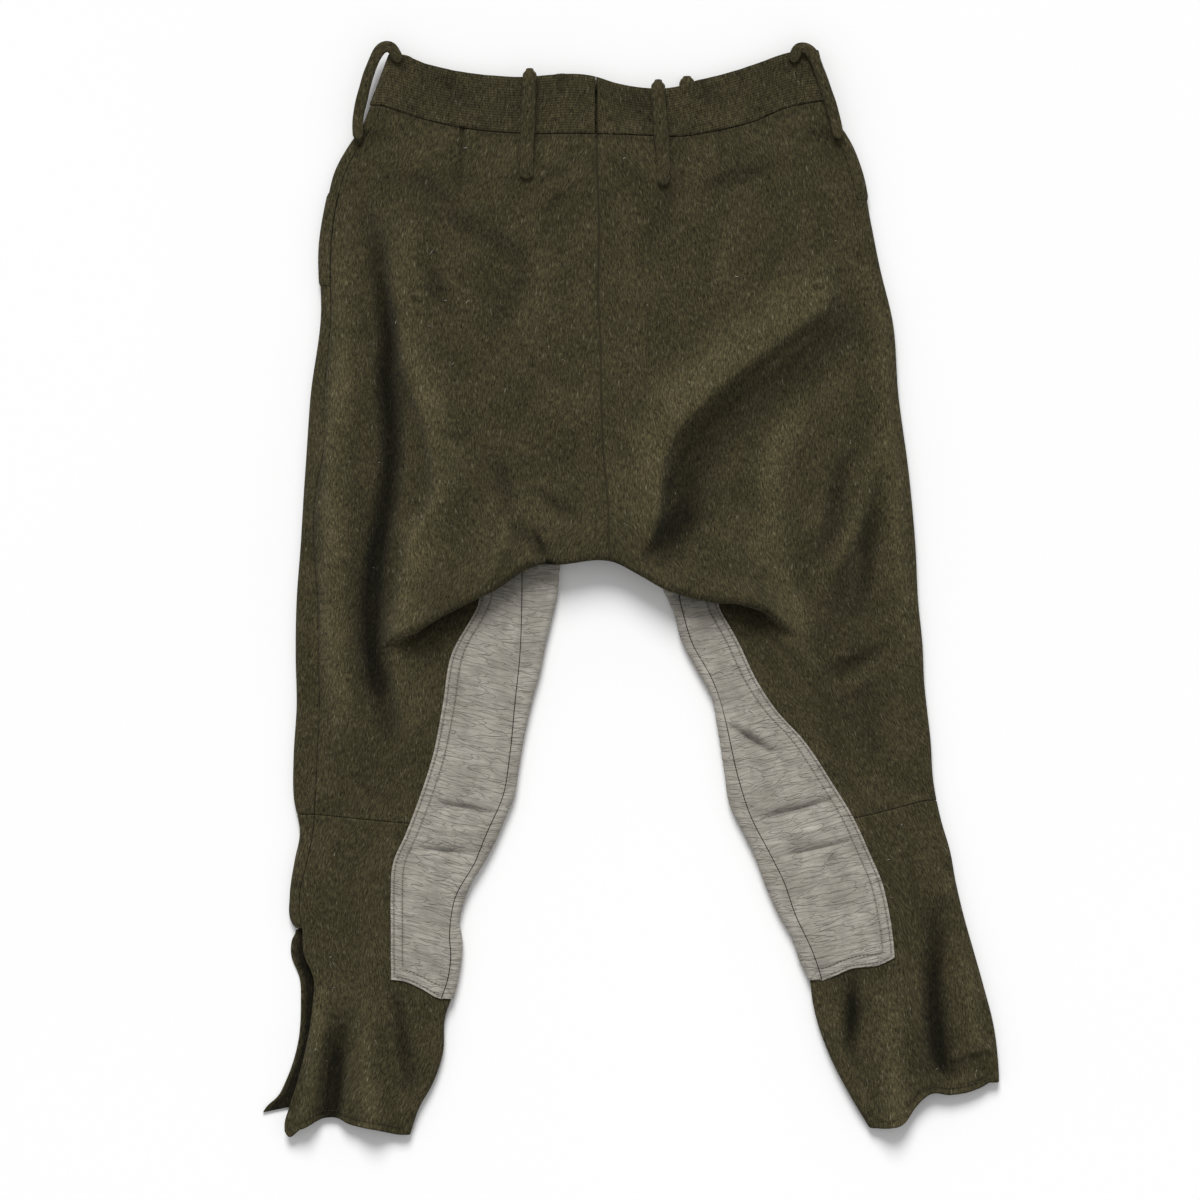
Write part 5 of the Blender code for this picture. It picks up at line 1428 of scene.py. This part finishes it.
def make_object(name: str, points: Array, faces: Sequence[Sequence[int]],
                material: bpy.types.Material, cloth: Optional[Array] = None,
                sharp: float = 62.0) -> Item:
    """Make a smooth object from millimetre points.

    Args:
        name: Name of the piece.
        points: Points in millimetres.
        faces: Corners of each face, where a repeated corner makes a triangle.
        material: The piece's finish.
        cloth: Each point's place in the cloth, with its painted shade as the fourth value.
        sharp: Edges sharper than this many degrees are drawn sharp.

    Returns:
        The object, in the scene.
    """
    clean = []
    for face in (faces.tolist() if isinstance(faces, np.ndarray) else faces):
        kept = [c for k, c in enumerate(face) if c != face[k - 1]]
        if len(kept) >= 3 and len(set(kept)) == len(kept):
            clean.append(kept)
    mesh = bpy.data.meshes.new(name)
    mesh.from_pydata((np.asarray(points) / 1000.0).tolist(), [], clean)
    if cloth is not None:
        cloth = np.asarray(cloth, np.float32)
        layer = mesh.attributes.new("cloth", "FLOAT_VECTOR", "POINT")
        layer.data.foreach_set("vector", np.ascontiguousarray(cloth[:, :3]).reshape(-1))
        layer = mesh.attributes.new("shade", "FLOAT", "POINT")
        layer.data.foreach_set("value", np.ascontiguousarray(cloth[:, 3]))
    mesh.polygons.foreach_set("use_smooth", [True] * len(mesh.polygons))
    mesh.update()
    mesh.set_sharp_from_angle(angle=math.radians(sharp))
    mesh.materials.append(material)
    return put_in_scene(name, mesh)


def tube_faces(start: int, rings: int, sides: int) -> List[List[int]]:
    """Faces of a tube of points with both its ends closed.

    Args:
        start: Number of the first point.
        rings: Rings of points along the tube.
        sides: Points in one ring.

    Returns:
        The faces, the two ends last.
    """
    faces = []
    for ring in range(rings - 1):
        for side in range(sides):
            a = start + ring * sides + side
            b = start + ring * sides + (side + 1) % sides
            faces.append([a, b, b + sides, a + sides])
    last = start + (rings - 1) * sides
    faces.append([start + side for side in range(sides)][::-1])
    faces.append([last + side for side in range(sides)])
    return faces


@dataclass(frozen=True)
class Cut:
    """Flat size of a piece of cloth as it is cut, in metres, and its share of that rectangle."""

    width: float
    length: float
    share: float


def dress(item: Item, nodes: Sequence[str]) -> None:
    """Args:
        item: The piece.
        nodes: Solids that it stands for.
    """
    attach(item, "root")
    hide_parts(*nodes)
    mesh = item.data
    area = sum(p.area for p in mesh.polygons) / 2
    LOG.info("%s: %d faces, %.4f square metres", item.name, len(mesh.polygons), area)


@dataclass
class Panels:
    """The wool panels, waistband and pocket edges, as walls over the shell."""

    finishes: Finishes
    wool: float = 2.0
    band: float = 2.5
    welt: float = 1.0
    lay_gap: float = 0.3
    seam_gap: float = 0.3
    edge_roll: float = 0.6
    band_proud: float = 0.9
    band_roll: float = 0.5
    band_split: float = 1.7       # the waistband is slit at the centre back
    split_opens: Pair = (5.0, 8.0)   # from this far below its top, over this far
    welt_roll: float = 0.8
    beside_row: float = 0.075     # how far from a seam its own row of points lies
    beside_column: float = 0.06
    parts: int = 6                # steps in one of the cut's own rows and columns

    def shell(self) -> Tuple[Shell, List[HalfCloth]]:
        """Work out both halves."""
        rows = fine_steps(0, HEM_ROW, self.parts, (0, WAIST_ROW, KNEE_ROW, HEM_ROW),
                          self.beside_row)
        columns = fine_steps(0, CENTRE_COLUMN, self.parts, (0, INSEAM_COLUMN),
                             self.beside_column)
        bridge = columns[columns >= INSEAM_COLUMN] - INSEAM_COLUMN
        halves = [HalfCloth(side, rows, columns, bridge) for side in Side]
        return Shell(halves), halves

    def build(self, shell: Shell) -> Dict[str, Item]:
        """Make every wool piece.

        Args:
            shell: The laid garment's shell.

        Returns:
            The pieces by the names of their solids.
        """
        pieces = {}
        for label in sorted(set(shell.labels)):
            band = label.startswith("waistband")
            points, faces, cloth = shell.wall(
                shell.labels == label, self.band_proud if band else 0.0,
                self.band if band else self.wool, self.seam_gap / 2,
                self.band_roll if band else self.edge_roll)
            if band:
                out = Side.LEFT.value if label.endswith("left") else Side.RIGHT.value
                centre = CENTRE[0][1]
                split = (np.abs(points[:, 0] - mm_x(centre)) < 1.0) & (points[:, 2] > 6.0)
                low = mm_y(BAND_TABLE.at(centre)) - points[split, 1]
                points[split, 0] += out * self.band_split / 2 * ramp(low, self.split_opens)
            pieces[label] = make_object(
                label + "_cloth", points, faces,
                self.finishes.band if band else self.finishes.wool, cloth)
        for side in Side:
            chosen = (shell.places == Place.WELT.value) & np.char.endswith(
                shell.labels, "_" + side.word)
            points, faces, cloth = shell.wall(chosen, self.lay_gap + self.welt, -self.lay_gap,
                                              0.0, self.welt_roll)
            name = "pocket_welt_" + side.word
            pieces[name] = make_object(name + "_cloth", points, faces, self.finishes.wool, cloth)
        return pieces


@dataclass
class Strappings:
    """The grey strappings on the inner knees, puckered along their stitched edges."""

    finishes: Finishes
    thick: float = 1.2
    lay_gap: float = 0.3
    seam_gap: float = 0.7
    edge_roll: float = 0.6
    rows_per_part: int = 9
    parts: int = 6
    groove: float = 0.35          # depth of the cloth under a row of stitches
    groove_reach: float = 1.2
    pucker: float = 0.8
    pucker_reach: float = 13.0    # the puckers are strongest this close to the edge
    waves: int = 9

    def build(self) -> Dict[str, Item]:
        """Make the four strappings.

        Returns:
            The pieces by the names of their solids.
        """
        rows = fine_steps(THIGH_ROW, STRAP_END_ROW, self.rows_per_part, (STRAP_END_ROW,), 0.05)
        columns = np.unique(np.concatenate((
            fine_steps(STRAP_COLUMN, INSEAM_COLUMN, self.parts, (), 0.1),
            STRAP_COLUMN + np.array((0.05, 0.11, 0.18, 0.25, 0.55, 0.62, 0.69)))))
        ring = np.arange(RING_STEPS * self.parts + 1) / self.parts
        pieces = {}
        for side in Side:
            half = HalfCloth(side, rows, columns, ring)
            shell = Shell([half])
            for layer in ("back", "front"):
                chosen = (shell.places == Place.STRAP.value) & (
                    (np.char.find(shell.labels, "back") >= 0) == (layer == "back"))
                self._pucker(shell, chosen)
                points, faces, cloth = shell.wall(chosen, self.lay_gap + self.thick,
                                                  -self.lay_gap, self.seam_gap / 2,
                                                  self.edge_roll)
                name = "strapping_" + layer + "_" + side.word
                pieces[name] = make_object(name + "_cloth", points, faces,
                                           self.finishes.cotton, cloth)
        return pieces

    def _pucker(self, shell: Shell, chosen: Array) -> None:
        """Move the points of the chosen faces in and out along their normals."""
        used = np.unique(shell.faces[chosen])
        across, along, edge = shell.cloth[used].T[:3]
        near = np.exp(-(edge / self.pucker_reach) ** 2)
        wave = np.zeros(len(used))
        draw = np.random.default_rng(21)
        for _wave in range(self.waves):
            length = draw.uniform(4.2, 11.0)
            wave += draw.uniform(0.4, 1.0) * np.sin(
                2 * math.pi * along / length + across * draw.uniform(-0.06, 0.06)
                + draw.uniform(0, 6.28)) * (0.5 + 0.5 * np.sin(
                    along / draw.uniform(9, 25) + draw.uniform(0, 6.28)))
        move = wave / 3.0 * self.pucker * (0.45 + 0.55 * near)
        for place in STRAP_STITCHES:
            move -= self.groove * np.exp(-((edge - place) / self.groove_reach) ** 2)
        flat = shell.normals[used][:, 2] < -0.5
        move = np.where(flat, 0.0, np.clip(move, -0.25, 1.2))
        shell.points[used] += shell.normals[used] * move[:, None]


def superellipse(width: float, thick: float, count: int) -> Array:
    """Points of a flat strip's rounded section, as (across, up)."""
    a = 2 * math.pi * (np.arange(count) + 0.5) / count
    c, s = np.cos(a), np.sin(a)
    return np.stack((np.sign(c) * np.abs(c) ** 0.7 * width / 2,
                     np.sign(s) * np.abs(s) ** 0.7 * thick / 2), axis=1)


@dataclass
class BeltLoops:
    """The six belt loops, as turned strips rounded by their filling."""

    finishes: Finishes
    width: float = 12.0
    thick: float = 4.2
    side_width: float = 9.6
    front_width: float = 13.0
    front_thick: float = 2.4
    front_drop: float = 12.0      # pixels by which the left front loop stays under the band
    band_top: float = 88.0        # photo y above which a back loop keeps the band's height
    section: int = 20
    steps: int = 8

    def build(self, halves: Sequence[HalfCloth]) -> Dict[str, Item]:
        """Make every loop with its stitches.

        Args:
            halves: The two halves, for the cloth under the back loops.

        Returns:
            The loops by the names of their solids.
        """
        pieces = {}
        for name, table in BACK_LOOPS.items():
            path = []
            for x, y, lift in table:
                half = halves[0] if x < CENTRE_TABLE.at(y) else halves[1]
                cloth = half.height(x, max(y, self.band_top), False)
                path.append((mm_x(x), mm_y(y), cloth + lift))
            pieces[name] = self._loop(name, path, False, self.width, self.thick)
        for name, table in SIDE_LOOPS.items():
            path = [(mm_x(x), mm_y(y), z) for x, y, z in table]
            pieces[name] = self._loop(name, path, True, self.side_width, self.thick)
        for name, table in FRONT_LOOPS.items():
            drop = self.front_drop if name.endswith("left") else 0.0
            path = [(mm_x(x), mm_y(y + drop), z) for x, y, z in table]
            pieces[name] = self._loop(name, path, False, self.front_width, self.front_thick)
        return pieces

    def _loop(self, name: str, path: Rows, in_plan: bool, width: float,
              thick: float) -> Item:
        """Sweep one loop along its path.

        Args:
            name: Name of the loop's solid.
            path: Points of its middle line in millimetres.
            in_plan: Whether the strip lies flat all round its arch.
            width: Width of the strip.
            thick: Thickness of the strip.

        Returns:
            The loop.
        """
        path = eased_path(np.array(path, float), self.steps)
        ahead = np.gradient(path, axis=0)
        ahead /= np.linalg.norm(ahead, axis=1)[:, None]
        if in_plan:
            side = np.cross(ahead, np.array((0.0, 0.0, 1.0)))
        else:
            side = np.array((1.0, 0.0, 0.0)) - ahead * ahead[:, :1]
        side /= np.linalg.norm(side, axis=1)[:, None]
        up = np.cross(side, ahead)
        along = np.concatenate(((0.0,), np.cumsum(np.linalg.norm(np.diff(path, axis=0), axis=1))))
        swell = 1.0 + 0.035 * np.sin(along / 9.0) + 0.02 * np.sin(along / 3.7 + 1.0)
        ends = np.minimum(along, along[-1] - along)
        swell *= np.sqrt(np.clip(1.0 - (1.0 - np.minimum(ends / 4.0, 1.0)) ** 2, 0.12, 1.0))
        if not in_plan:
            under = np.minimum((path[:, 1].max() - path[:, 1]) / 5.0, 1.0)
            swell *= np.sqrt(np.clip(1.0 - (1.0 - under) ** 2, 0.3, 1.0))
        section = superellipse(width, thick, self.section)
        points = (path[:, None] + side[:, None] * (section[None, :, :1] * swell[:, None, None])
                  + up[:, None] * section[None, :, 1:])
        faces = tube_faces(0, len(path), self.section)
        if np.sum(np.cross(up, side) * ahead) > 0:
            faces = [face[::-1] for face in faces]
        cloth = np.stack((np.broadcast_to(section[None, :, 0], points.shape[:2]),
                          np.broadcast_to(along[:, None], points.shape[:2]) + 300.0,
                          np.full(points.shape[:2], 50.0), np.full(points.shape[:2], -1.0)),
                         axis=2)
        return make_object(name + "_cloth", points.reshape(-1, 3), faces, self.finishes.wool,
                           cloth.reshape(-1, 4), 75.0)


@dataclass
class Stitching:
    """Rows of stitches, each stitch a short rounded bar sunk at both ends."""

    finishes: Finishes
    pitch: float = 3.4
    length: float = 2.6
    radius: float = 0.30
    sides: int = 6
    # Rings of a stitch: share of its length, and width and lift in parts of the radius
    rings: Rows = ((0.0, 0.3, -1.2), (0.1, 0.85, 0.0), (0.5, 1.0, 0.35), (0.9, 0.85, 0.0),
                   (1.0, 0.3, -1.2))
    samples: int = 240            # places along a strapping's edge
    end_samples: int = 60         # places along its lower end
    hem_samples: int = 120
    hem_up: Pair = (0.40, 0.58)   # rows of the cut from the hem to each stitch row
    hem_lift: float = 0.02
    strap_lift: float = 1.35      # height of the strappings' stitches over the wool

    def row(self, points: Array, normals: Array) -> Tuple[Array, List[List[int]]]:
        """One row of stitches along a path.

        Args:
            points: The path in millimetres.
            normals: The cloth's normal at each point.

        Returns:
            Points and faces of the stitches.
        """
        run = np.concatenate(((0.0,), np.cumsum(np.linalg.norm(np.diff(points, axis=0), axis=1))))
        middles = np.arange(self.pitch, run[-1] - self.pitch, self.pitch)
        both = [np.stack([np.interp(middles + shift, run, points[:, k]) for k in range(3)], 1)
                for shift in (-self.length / 2, self.length / 2)]
        up = np.stack([np.interp(middles, run, normals[:, k]) for k in range(3)], 1)
        up /= np.linalg.norm(up, axis=1)[:, None]
        ahead = both[1] - both[0]
        ahead /= np.linalg.norm(ahead, axis=1)[:, None]
        side = np.cross(ahead, up)
        verts, faces = [], []
        turns = 2 * math.pi * np.arange(self.sides) / self.sides
        for k in range(len(middles)):
            faces += tube_faces(len(verts), len(self.rings), self.sides)
            for share, wide, lift in self.rings:
                centre = both[0][k] * (1 - share) + both[1][k] * share + up[k] * lift * self.radius
                for turn in turns:
                    verts.append(centre + self.radius * wide * (
                        side[k] * math.cos(turn) + up[k] * math.sin(turn)))
        return np.array(verts), faces

    def sew(self, name: str, rows: Sequence[Tuple[Array, Array]],
            material: bpy.types.Material) -> Item:
        """Make one object of several rows of stitches."""
        points, faces = [], []
        for path, normals in rows:
            verts, found = self.row(path, normals)
            start = sum(len(p) for p in points)
            points.append(verts)
            faces += [[start + c for c in face] for face in found]
        item = make_object(name, np.concatenate(points), faces, material)
        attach(item, "root")
        LOG.info("%s: %d rows of stitches", name, len(rows))
        return item

    def strap_rows(self, half: HalfCloth) -> List[Tuple[Array, Array]]:
        """Stitch rows along a strapping's outer and lower edges."""
        rows = []
        for place in STRAP_STITCHES:
            v = np.linspace(THIGH_ROW, STRAP_END_ROW - place / END_ROW_MM, self.samples)
            probe, _normals = half.at(v, np.full(self.samples, float(STRAP_COLUMN)))
            y = photo_y(probe[:, 1])
            width = np.abs(half.line("inseam", y) - half.line("strap", y)) * MM_PER_PIXEL
            u = STRAP_COLUMN + (INSEAM_COLUMN - STRAP_COLUMN) * place / width
            points, normals = half.at(v, u)
            rows.append((points + normals * self.strap_lift, normals))
            u = np.linspace(u[-1], INSEAM_COLUMN, self.end_samples)
            points, normals = half.at(np.full(self.end_samples, v[-1]), u)
            rows.append((points + normals * self.strap_lift, normals))
        return rows

    def hem_rows(self, half: HalfCloth) -> List[Tuple[Array, Array]]:
        """Stitch rows above the hem."""
        rows = []
        spans = [(self.hem_up[0], INSEAM_COLUMN)]
        if half.side is Side.RIGHT:
            spans.append((self.hem_up[1], 4.5))
        for up, last in spans:
            u = np.linspace(0.25, last, self.hem_samples)
            points, normals = half.at(np.full(self.hem_samples, HEM_ROW - up), u)
            rows.append((points + normals * self.hem_lift, normals))
        return rows


@dataclass
class Lint:
    """A few pale fibres caught in the nap."""

    finishes: Finishes
    count: int = 46
    radius: float = 0.10
    lift: float = 0.25
    on_seat: float = 0.62         # share of the fibres above the crotch, the rest on the calves
    seat_rows: Pair = (4, 27)
    calf_rows: Pair = (49, 65)
    rings: int = 5
    angles: Tuple[float, float, float] = (0.0, 2.09, 4.19)   # of a ring's points

    def build(self, halves: Sequence[HalfCloth]) -> Item:
        """Scatter the fibres over the top.

        Args:
            halves: The two halves.

        Returns:
            One object that holds them all.
        """
        draw = np.random.default_rng(77)
        points, faces = [], []
        for _fibre in range(self.count):
            half = halves[int(draw.integers(2))]
            v = draw.uniform(*(self.seat_rows if draw.random() < self.on_seat
                               else self.calf_rows))
            u = draw.uniform(0.6, 14.5 if v < POUCH_ROW else 6.6)
            place, normal = half.at(np.array((v,)), np.array((u,)))
            turn, bend = draw.uniform(0, math.pi), draw.uniform(-0.5, 0.5)
            length = draw.uniform(1.4, 4.2)
            faces += tube_faces(len(points), self.rings, len(self.angles))
            for k in range(self.rings):
                t = (k / 4 - 0.5) * length
                x, y = t * math.cos(turn + bend * k / 4), t * math.sin(turn + bend * k / 4)
                centre = place[0] + normal[0] * self.lift + np.array((x, y, 0.0))
                for a in self.angles:
                    points.append(centre + self.radius * np.array((
                        -math.sin(turn) * math.cos(a), math.cos(turn) * math.cos(a),
                        math.sin(a))))
        item = make_object("lint", np.array(points), faces, self.finishes.lint)
        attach(item, "root")
        return item


@dataclass
class Studio:
    """Pale floor, soft light from the waist's side, and a camera straight above."""

    finishes: Finishes
    view: Pair = (-0.0281, -0.0104)
    height: float = 4.0
    across: float = 1.038
    sensor: float = 36.0
    floor: float = 6.0            # width of the floor in metres
    tiles: int = 12
    floor_level: float = -0.35    # millimetres, just under the cloth
    sun: float = 3.0
    sun_turn: Pair = (-51.0, -8.0)   # degrees about x and y from overhead
    sun_soft: float = 27.0
    sky: float = 0.48

    def build(self) -> None:
        """Set the floor, the lights and the camera."""
        half = self.floor / 2 * 1000.0
        count = self.tiles
        line = np.linspace(-half, half, count + 1)
        x, y = np.meshgrid(line, line)
        points = np.stack((x, y, np.full(x.shape, self.floor_level)), axis=2).reshape(-1, 3)
        faces = [[r * (count + 1) + c, r * (count + 1) + c + 1, (r + 1) * (count + 1) + c + 1,
                  (r + 1) * (count + 1) + c] for r in range(count) for c in range(count)]
        floor = make_object("floor", points, faces, self.finishes.paper)

        world = bpy.data.worlds.new("studio")
        world.use_nodes = True
        background = world.node_tree.nodes["Background"]
        background.inputs[0].default_value = (1.0, 1.0, 1.0, 1.0)
        background.inputs[1].default_value = self.sky
        bpy.context.scene.world = world
        light = bpy.data.lights.new("window_light", "SUN")
        light.energy = self.sun
        light.angle = math.radians(self.sun_soft)
        turn_x, turn_y = (math.radians(turn) for turn in self.sun_turn)
        put_in_scene("window_light", light).rotation_euler = (turn_x, turn_y, 0.0)

        camera = bpy.data.cameras.new("camera")
        camera.sensor_width = self.sensor
        camera.lens = self.sensor * self.height / self.across
        camera.clip_end = 30.0
        item = put_in_scene("camera", camera)
        item.location = (*self.view, self.height)
        bpy.context.scene.camera = item
        bpy.context.scene.view_settings.view_transform = "Standard"


def main() -> None:
    """Build the garment and its studio."""
    logging.basicConfig(level=logging.INFO, format="%(name)s %(message)s")
    finishes = Finishes()
    panels = Panels(finishes)
    shell, halves = panels.shell()
    pieces = panels.build(shell)
    pieces.update(Strappings(finishes).build())
    pieces.update(BeltLoops(finishes).build(halves))
    sewing = Stitching(finishes)
    for half in halves:
        word = half.side.word
        rows = sewing.strap_rows(half)
        sewing.sew(
            "strap_stitches_" + word, rows, finishes.grey_thread)
        sewing.sew(
            "hem_stitches_" + word, sewing.hem_rows(half), finishes.olive_thread)
    for name, item in pieces.items():
        dress(item, (name,))
    Lint(finishes).build(halves)
    Studio(finishes).build()


if __name__ == "__main__":
    main()
